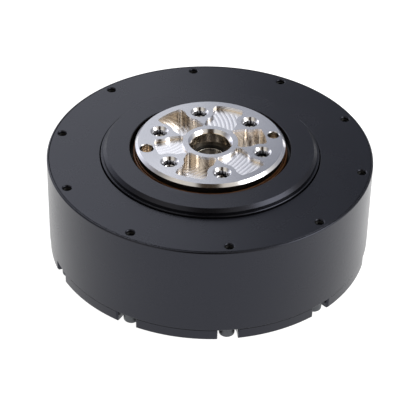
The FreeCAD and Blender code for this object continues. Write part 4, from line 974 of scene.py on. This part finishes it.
@dataclass
class HousingFasteners:
    """Long cap screws with their washers, cover screws and the threads in free holes."""

    count: int = 10
    first: float = math.pi / 2               # direction of the first long screw
    head_radius: float = 2.84 * MM
    head_height: float = 3.0 * MM
    head_faces: int = 144
    crown: float = 0.55 * MM                 # bevel of the head's end
    head_round: float = 0.18 * MM
    knurls: int = 36
    knurl_depth: float = 0.04 * MM
    knurl_band: float = 0.06 * MM            # the knurl stops this far in from the outside
    shank_radius: float = 1.5 * MM
    tip: float = 0.4 * MM                    # bevel of the shank's tip
    key_radius: float = 1.44 * MM            # corners of the hexagon socket
    key_share: float = 0.5                   # how much of the head's height it takes
    washer_play: float = 0.15 * MM
    washer_round: float = 0.12 * MM
    cover_screws: int = 5
    cover_head: float = 2.8 * MM
    cover_rim: float = 0.3 * MM              # straight part of the countersunk head
    cover_bevel: float = 0.1 * MM
    cover_cone: float = 1.6 * MM
    cover_key_radius: float = 1.15 * MM
    cover_key_depth: float = 1.3 * MM
    rim_crest: float = 1.30 * MM
    rim_root: float = 1.53 * MM
    rim_pitch: float = 0.5 * MM
    rim_clear: float = 0.9 * MM              # the rim threads end this far below the face
    tap_radius: float = 1.65 * MM
    tap_depth: float = 10.0 * MM
    tap_pitch: float = 0.7 * MM
    tap_ridge: float = 0.2 * MM              # it stands this far into the hole
    tap_bite: float = 0.04 * MM              # and reaches this far into the wall
    tap_lift: float = 0.3 * MM
    tap_first: float = math.radians(144.0)   # direction of the first mounting hole
    overshoot: float = 1.0 * MM              # cutting tools reach this far outside

    def circle(self) -> float:
        """Radius of the screw circle, from the screw that stands at +Y."""
        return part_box("housing_screws")[1].y - self.head_radius

    def build_cap_screws(self) -> None:
        """Cap screws: knurled heads with hexagon sockets, shanks with a bevelled tip."""
        low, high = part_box("housing_screws")
        seat = low.z + self.head_height
        radius, shank = self.head_radius, self.shank_radius
        profile = [(0.0, low.z), (radius - self.crown, low.z),
                   (radius, low.z + self.crown), (radius, seat), (shank, seat),
                   (shank, high.z - self.tip), (shank - self.tip, high.z), (0.0, high.z)]
        head = [profile[0]] + rounded(profile, self.head_round)[4:-4] + [profile[-1]]
        mesh = lathed(head, self.head_faces, self.knurls, self.knurl_depth,
                      radius - self.knurl_band)
        screws = new_piece("cap_screws", mesh, BLACK_OXIDE)
        cut_away(screws, [prism(6, self.key_radius, low.z - self.overshoot,
                                low.z + self.head_height * self.key_share)])
        on_circle(screws, self.count, self.circle(), self.first, BLACK_OXIDE)
        hang(screws, "housing", "black_screw", "housing_screws")

    def build_washers(self) -> None:
        """Washers under the long screws' heads: closed rings with rounded edges."""
        low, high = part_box("housing_screw_washers")
        inner = self.shank_radius + self.washer_play
        profile = rounded([(inner, low.z), (self.head_radius, low.z),
                           (self.head_radius, high.z), (inner, high.z)],
                          self.washer_round)
        washers = new_piece("spring_washers", lathed(profile, SMALL_ROUND), BLACK_OXIDE)
        on_circle(washers, self.count, self.circle(), self.first, BLACK_OXIDE)
        hang(washers, "housing", "black_screw", "housing_screw_washers")

    def build_cover_screws(self) -> None:
        """Countersunk screws of the rear cover, with hexagon sockets."""
        low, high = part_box("rear_cover_screws")
        radius, shank, bevel = self.cover_head, self.shank_radius, self.cover_bevel
        profile = [(0.0, low.z), (radius - bevel, low.z), (radius, low.z + bevel),
                   (radius, low.z + self.cover_rim), (shank, low.z + self.cover_cone),
                   (shank, high.z), (0.0, high.z)]
        screws = new_piece("cover_screws", lathed(profile, MIDDLE_ROUND), BLACK_OXIDE)
        cut_away(screws, [prism(6, self.cover_key_radius, low.z - self.overshoot,
                                low.z + self.cover_key_depth)])
        on_circle(screws, self.cover_screws, -low.x - radius, math.pi, BLACK_OXIDE)
        hang(screws, "housing", "black_screw", "rear_cover_screws")

    def build_threads(self) -> None:
        """Thread ridges above the screw tips and in the five mounting holes."""
        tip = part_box("housing_screws")[1].z
        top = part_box("front_cover")[1].z
        turns = (top - self.rim_clear - tip) / self.rim_pitch
        # the rim threads are coloured near black: painted shade of the deep holes
        ridge = thread("rim_threads", self.rim_crest, self.rim_root, self.rim_pitch, turns,
                       tip, RIM_THREAD_SHADE)
        on_circle(ridge, self.count, self.circle(), self.first, RIM_THREAD_SHADE)
        hang(ridge, "housing", "black_anodised")
        rear = mount("rear_screw_holes")["dims"]
        ridge = thread("mounting_threads", self.tap_radius - self.tap_ridge,
                       self.tap_radius + self.tap_bite, self.tap_pitch,
                       self.tap_depth / self.tap_pitch - 1,
                       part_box("shell")[0].z + self.tap_lift, REAR_THREAD)
        on_circle(ridge, rear["count"], rear["pcd_mm"] / 2 * MM, self.tap_first,
                  REAR_THREAD)
        hang(ridge, "housing", "machined_aluminium")

    def build(self) -> None:
        """Builds every fastener of the housing."""
        self.build_cap_screws()
        self.build_washers()
        self.build_cover_screws()
        self.build_threads()


@dataclass
class OutputFlange:
    """Bright flange with its tapped holes, and what sits in its centre bore."""

    edge: float = 0.10 * MM
    countersink: float = 3.35 * MM
    thread_root: float = 2.4 * MM
    thread_depth: float = 11.6 * MM
    sleeve_drop: float = 0.03 * MM
    thread_drop: float = 2.2 * MM
    pitch: float = 0.8 * MM
    bite: float = 0.02 * MM      # how far sleeve and ridge reach into the metal
    sleeve_wall: float = 0.07 * MM
    overshoot: float = 0.5 * MM  # the drill reaches this far above the face
    bore_edge: float = 0.15 * MM
    centre_radius: float = 0.8 * MM
    centre_mouth: float = 2.0 * MM
    centre_tip: float = 2.6 * MM     # depths of the centre hole in the sun shaft
    centre_floor: float = 2.1 * MM
    centre_cone: float = 1.4 * MM
    centre_above: float = 0.6 * MM
    shaft_edge: float = 0.05 * MM
    lip_gap: float = 0.12 * MM
    lip_width: float = 0.75 * MM
    lip_relief: float = 0.5 * MM     # the lip is thinner by this behind its land
    lip_bevel: float = 0.2 * MM
    lip_land: float = 0.8 * MM       # depths where the land ends and the thin part starts
    lip_heel: float = 1.3 * MM
    back_bevel: Point = (0.25 * MM, 0.3 * MM)
    lip_round: float = 0.10 * MM
    case_round: float = 0.12 * MM
    channel: float = 2.2 * MM
    channel_width: float = 1.2 * MM

    def build_flange(self) -> None:
        """Flange with opened tapped holes, and the ridges of their threads."""
        holes = mount("output_screw_holes")
        circle = holes["dims"]["pcd_mm"] / 2 * MM
        count = holes["dims"]["count"]
        crest = holes["dims"]["hole_r_mm"] * MM
        first = flange_rest_angle() + math.pi / count
        top = FLANGE_TOP
        floor = top - self.thread_depth
        flange = machined_copy("output_flange", "flange_machined", MILLED_ALUMINIUM)
        root = self.thread_root
        mouth = top - (self.countersink - root)
        drill = lathed([(0.0, floor), (root, floor), (root, mouth),
                        (self.countersink + self.overshoot, top + self.overshoot),
                        (0.0, top + self.overshoot)], MIDDLE_ROUND)
        cut_away(flange, [moved(drill, circle, first + 2 * math.pi * i / count)
                          for i in range(count)])
        edges_broken(flange, self.edge)
        hang(flange, "carrier", "machined_aluminium", "output_flange")
        rim = mouth - self.sleeve_drop
        outer = root + self.bite
        inner = outer - self.sleeve_wall
        wall = [(outer, floor), (outer, rim), (inner, rim), (inner, floor)]
        sleeve = new_piece("flange_thread_walls", lathed(wall, SMALL_ROUND),
                           THREADED_ALUMINIUM)
        on_circle(sleeve, count, circle, first, THREADED_ALUMINIUM)
        hang(sleeve, "carrier", "machined_aluminium")
        turns = (mouth - self.thread_drop - floor) / self.pitch
        ridge = thread("flange_threads", crest, outer, self.pitch, turns, floor,
                       THREADED_ALUMINIUM)
        on_circle(ridge, count, circle, first, THREADED_ALUMINIUM)
        hang(ridge, "carrier", "machined_aluminium")

    def build_bore(self) -> None:
        """Bush, circlip and the end of the sun shaft."""
        bush = machined_copy("sun_shaft_bush", "bush_turned", GROUND_STEEL)
        edges_broken(bush, self.bore_edge)
        hang(bush, "carrier", "bearing_steel", "sun_shaft_bush")
        clip = machined_copy("bush_circlip", "circlip_stamped", SPRING_STEEL)
        edges_broken(clip, self.bore_edge)
        hang(clip, "carrier", "spring_steel", "bush_circlip")
        shaft = machined_copy("sun_gear", "sun_shaft_ground", GEAR_STEEL)
        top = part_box("sun_gear")[1].z
        centre = lathed([(0.0, top - self.centre_tip),
                         (self.centre_radius, top - self.centre_floor),
                         (self.centre_radius, top - self.centre_cone),
                         (self.centre_mouth, top + self.centre_above),
                         (0.0, top + self.centre_above)], SMALL_ROUND)
        cut_away(shaft, [centre])
        edges_broken(shaft, self.shaft_edge)
        hang(shaft, "rotor", "gear_steel", "sun_gear")

    def build_seal(self) -> None:
        """Lip seal: near-black case, partly painted shade of the channel, and a brown dust
        lip that runs beside the flange.
        """
        low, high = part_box("output_seal")
        outer, back, top = high.x, low.z, high.z
        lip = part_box("output_flange")[1].x + self.lip_gap
        wide, shade_colour = lip + self.lip_width, top - self.channel
        ledge = wide + self.channel_width
        case = [(wide, back), (outer, back), (outer, top), (ledge, top), (ledge, shade_colour),
                (wide, shade_colour)]
        thin, bevel = lip + self.lip_relief, self.lip_bevel
        rubber = [(thin, back), (wide, back), (wide, top - self.back_bevel[1]),
                  (wide - self.back_bevel[0], top), (lip + bevel, top),
                  (lip, top - bevel), (lip, top - self.lip_land),
                  (thin, top - self.lip_heel)]
        # the case's near-black colour is partly painted shade of the channel between lip
        # and ring
        metal = new_piece("seal_case", lathed(rounded(case, self.case_round), LARGE_ROUND),
                          SEAL_CASE_AND_SHADE)
        hang(metal, "housing", "brown_fkm", "output_seal")
        seal = new_piece("lip_seal", lathed(rounded(rubber, self.lip_round), LARGE_ROUND),
                         BROWN_RUBBER)
        hang(seal, "housing", "brown_fkm")

    def build(self) -> None:
        """Builds the flange, its bore and its seal."""
        self.build_flange()
        self.build_bore()
        self.build_seal()


@dataclass
class Socket:
    """One plug socket on the driver board: nylon body and gold contacts."""

    node: str
    contacts: int
    wall: float = 1.0 * MM
    edge: float = 0.12 * MM
    contact_share: float = 0.37          # a contact's width as a share of the spacing
    contact_root: float = 0.1 * MM
    contact_setback: float = 0.36 * MM
    contact_edge: float = 0.1 * MM

    def build(self) -> None:
        """Breaks the edges of the body and sets the contacts in it."""
        body = machined_copy(self.node, self.node + "_moulded", BLACK_NYLON)
        edges_broken(body, self.edge)
        hang(body, "housing", "socket_plastic", self.node)
        low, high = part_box(self.node)
        middle = (low + high) / 2
        pitch = (high.x - low.x - 2 * self.wall) / self.contacts
        width = pitch * self.contact_share
        shape = bmesh.new()
        for i in range(self.contacts):
            x = middle.x + pitch * (i - (self.contacts - 1) / 2)
            foot = high.z - self.wall - self.contact_root
            tip = low.z + self.contact_setback
            size = Matrix.Diagonal((width, width, foot - tip, 1.0))
            place = Matrix.Translation((x, middle.y, (foot + tip) / 2))
            bmesh.ops.create_cube(shape, size=1.0, matrix=place @ size)
        contacts = new_piece(self.node + "_contacts", mesh_from(shape, "contacts"),
                             CONTACT_GOLD)
        edges_broken(contacts, self.contact_edge)
        hang(contacts, "housing", None)


@dataclass
class InnerWorks:
    """Everything that the closed housing holds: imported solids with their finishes."""

    def finishes(self) -> dict[Finish, tuple[str, ...]]:
        """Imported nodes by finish."""
        return {
            BOARD_LAMINATE: ("driver_board",),
            ZINC_PLATED: ("board_screws", "hub_screws"),
            CHIP_EPOXY: ("power_transistors", "controller_chip", "encoder_chip"),
            CAPACITOR_CERAMIC: ("board_capacitors",),
            COPPER_WIRE: ("stator_coils", "phase_leads"),
            SHEET_STEEL: ("stator_core",),
            OILED_STEEL: ("rotor_cup", "rotor_hub"),
            NICKEL_PLATE: ("rotor_magnets", "encoder_magnet"),
            GROUND_STEEL: ("rotor_bearing_inner", "rotor_bearing_outer",
                           "rotor_bearing_balls", "ring_gear_dowels", "planet_pins",
                           "output_bearing_inner", "output_bearing_outer",
                           "output_bearing_rollers"),
            GEAR_STEEL: ("planet_gear_1", "planet_gear_2", "planet_gear_3", "ring_gear",
                         "carrier_plate"),
            BRONZE: ("planet_bush_1", "planet_bush_2", "planet_bush_3", "thrust_washers"),
            SPRING_STEEL: ("ring_gear_snap_ring",),
            BLACK_OXIDE: ("gearbox_screws", "carrier_screws"),
            NATURAL_NYLON: ("output_bearing_spacers",),
        }

    def dress(self) -> None:
        """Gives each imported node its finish."""
        for finish, nodes in self.finishes().items():
            for node in nodes:
                finish.coat(frame["nodes"][node].data)
            LOG.info("%s on %d nodes", finish.name, len(nodes))


# ---- studio ----------------------------------------------------------------------------
@dataclass(frozen=True)
class SoftBox:
    """A flat, even studio light, placed from the middle of the object's top."""

    name: str
    place: Vector
    width: float
    height: float
    power: float

    def build(self, target: Vector, turn: Matrix) -> None:
        """Sets up the light, facing the object.

        Args:
            target: the point that it faces.
            turn: turn of the whole studio about the vertical.
        """
        lamp = bpy.data.lights.new(self.name, "AREA")
        lamp.shape = "RECTANGLE"
        lamp.size = self.width
        lamp.size_y = self.height
        lamp.energy = self.power
        holder = bpy.data.objects.new(self.name, lamp)
        bpy.context.scene.collection.objects.link(holder)
        away = turn @ self.place
        holder.location = target + away
        holder.rotation_mode = "QUATERNION"
        holder.rotation_quaternion = away.to_track_quat("Z", "Y")


@dataclass
class Studio:
    """Pale floor, soft lights, light surroundings and the camera."""

    floor_size: float = 6.0
    floor_drop: float = 0.05 * MM
    floor_colour: str = "A4A4A4"
    floor_roughness: float = 0.9
    # Strength of the floor's glow at the object's middle and at its reach to the right; the
    # rise to the right is painted light that washes out the object's shadow there.
    floor_glow: tuple[float, float] = (0.98, 1.45)
    painted_light_reach: float = 0.25
    # Colours all round, by bearing in degrees from the camera's side.
    surroundings: tuple[tuple[float, str], ...] = (
        (-179.0, "B6B9C4"), (-150.0, "E2E4F0"), (-125.0, "E8EAF4"), (-105.0, "B4B4BC"),
        (-88.0, "989490"), (-76.0, "C8C2B8"), (-62.0, "FFF6E8"), (-27.0, "FFFAF0"),
        (-19.0, "483828"), (17.0, "3A2E22"), (25.0, "FFF6E8"), (55.0, "FFF8EE"),
        (100.0, "E4E2DE"), (115.0, "A0A0A4"), (140.0, "7E8088"), (165.0, "8C8F98"),
        (179.0, "B6B9C4"))
    # Brightness near the horizon and high up.
    low_sky: tuple[float, float] = (0.15, 1.35)
    high_sky: tuple[float, float] = (0.80, 0.72)
    lights: tuple[SoftBox, ...] = (
        SoftBox("near_back_left", Vector((-0.205, 0.36, 0.24)), 0.46, 0.32, 0.38),
        SoftBox("high_back_left", Vector((-0.19, 0.427, 0.649)), 0.20, 0.20, 0.80),
        SoftBox("far_right", Vector((0.75, -0.20, 0.62)), 0.5, 0.5, 3.2))
    # The camera: degrees above the object and round it, metres away, degrees of aim.
    elevation: float = 34.904
    turn: float = -7.476
    distance: float = 0.633618
    yaw: float = 0.030
    pitch: float = -1.8505
    roll: float = -1.3307
    focal: float = 148.95
    sensor: float = 36.0

    def build_floor(self) -> None:
        """Large plain floor under the back face, its glow rising to the right as painted
        light over the object's shadow.
        """
        foot = CAD_BOX[0].z
        half = self.floor_size / 2
        shape = bmesh.new()
        bmesh.ops.create_grid(shape, x_segments=2, y_segments=2, size=half)
        bmesh.ops.translate(shape, verts=shape.verts, vec=(0, 0, foot - self.floor_drop))
        made = bpy.data.materials.new("white_table_glow_and_painted_light")
        made.use_nodes = True
        tree = made.node_tree
        shader = tree.nodes["Principled BSDF"]
        shader.inputs["Base Color"].default_value = linear(self.floor_colour)
        shader.inputs["Roughness"].default_value = self.floor_roughness
        shader.inputs["Specular IOR Level"].default_value = 0.0
        shader.inputs["Emission Color"].default_value = linear("FFFFFF")
        place = add_node(tree, "ShaderNodeTexCoord").outputs["Object"]
        east = add_node(tree, "ShaderNodeSeparateXYZ", inputs={0: place}).outputs[0]
        # painted light: the glow rises to the right, washing out the object's shadow on the
        # floor
        glow = add_node(tree, "ShaderNodeMapRange", {"interpolation_type": "SMOOTHSTEP"},
                        {0: east, 1: 0.0, 2: self.painted_light_reach,
                         3: self.floor_glow[0], 4: self.floor_glow[1]})
        tree.links.new(glow.outputs[0], shader.inputs["Emission Strength"])
        floor = new_piece("floor", mesh_from(shape, "floor"), None)
        floor.data.materials.append(made)

    def build_world(self) -> None:
        """Surroundings by bearing, dark behind the camera, brighter near the horizon."""
        world = bpy.data.worlds.new("studio")
        bpy.context.scene.world = world
        world.use_nodes = True
        tree = world.node_tree
        tree.nodes.clear()
        place = add_node(tree, "ShaderNodeTexCoord").outputs["Generated"]
        split = add_node(tree, "ShaderNodeSeparateXYZ", inputs={0: place})
        east, north, rise = split.outputs
        south = add_node(tree, "ShaderNodeMath", {"operation": "MULTIPLY"},
                         {0: north, 1: -1.0})
        bearing = add_node(tree, "ShaderNodeMath", {"operation": "ARCTAN2"},
                           {0: east, 1: south.outputs[0]})
        turn = add_node(tree, "ShaderNodeMath", {"operation": "ADD"},
                        {0: bearing.outputs[0], 1: math.pi - math.radians(self.turn)})
        rounds = add_node(tree, "ShaderNodeMath", {"operation": "DIVIDE"},
                          {0: turn.outputs[0], 1: 2 * math.pi})
        share = add_node(tree, "ShaderNodeMath", {"operation": "FRACT"},
                         {0: rounds.outputs[0]})
        ramp = add_node(tree, "ShaderNodeValToRGB", inputs={0: share.outputs[0]})
        stops = ramp.color_ramp.elements
        for degrees, code in self.surroundings:
            stop = stops.new((degrees + 180.0) / 360.0)
            stop.color = linear(code)
        stops.remove(stops[0])
        stops.remove(stops[-1])
        level = add_node(tree, "ShaderNodeMapRange", {"interpolation_type": "SMOOTHSTEP"},
                         {0: rise, 1: self.low_sky[0], 2: self.high_sky[0],
                          3: self.low_sky[1], 4: self.high_sky[1]})
        light = add_node(tree, "ShaderNodeBackground", inputs={
            0: ramp.outputs[0], 1: level.outputs[0]})
        add_node(tree, "ShaderNodeOutputWorld", inputs={0: light.outputs[0]})

    def build_lights(self) -> None:
        """Soft boxes round the object."""
        target = Vector((0.0, 0.0, CAD_BOX[1].z))
        turn = Matrix.Rotation(math.radians(self.turn), 3, "Z")
        for box in self.lights:
            box.build(target, turn)

    def build_camera(self) -> None:
        """Camera a little under 35 degrees above the horizon, with a long lens."""
        rise = math.radians(self.elevation)
        turn = Matrix.Rotation(math.radians(self.turn), 3, "Z")
        shift = Vector((0.0, -math.cos(rise), math.sin(rise))) * self.distance
        ahead = -shift.normalized()
        right = ahead.cross(Vector((0, 0, 1))).normalized()
        above = right.cross(ahead)
        swing = Matrix.Rotation(math.radians(self.yaw), 3, above)
        ahead, right = swing @ ahead, swing @ right
        nod = Matrix.Rotation(math.radians(self.pitch), 3, right)
        ahead, above = nod @ ahead, nod @ above
        lean = Matrix.Rotation(math.radians(self.roll), 3, ahead)
        right, above = lean @ right, lean @ above
        data = bpy.data.cameras.new("camera")
        data.lens = self.focal
        data.sensor_width = self.sensor
        camera = bpy.data.objects.new("camera", data)
        bpy.context.scene.collection.objects.link(camera)
        axes = Matrix((turn @ right, turn @ above, turn @ -ahead)).transposed()
        camera.matrix_world = axes.to_4x4()
        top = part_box("front_cover")[1].z
        camera.location = turn @ shift + Vector((0.0, 0.0, top))
        bpy.context.scene.camera = camera

    def build(self) -> None:
        """Builds the studio."""
        self.build_floor()
        self.build_world()
        self.build_lights()
        self.build_camera()
        bpy.context.scene.view_settings.view_transform = "Standard"


def main() -> None:
    """Builds the actuator's looks from the outside in, and then the studio."""
    logging.basicConfig(level=logging.INFO, format="%(name)s %(message)s")
    Housing().build()
    HousingFasteners().build()
    OutputFlange().build()
    Socket("power_socket", 2).build()
    Socket("signal_socket_left", 4).build()
    Socket("signal_socket_right", 4).build()
    InnerWorks().dress()
    Studio().build()


if __name__ == "__main__":
    main()
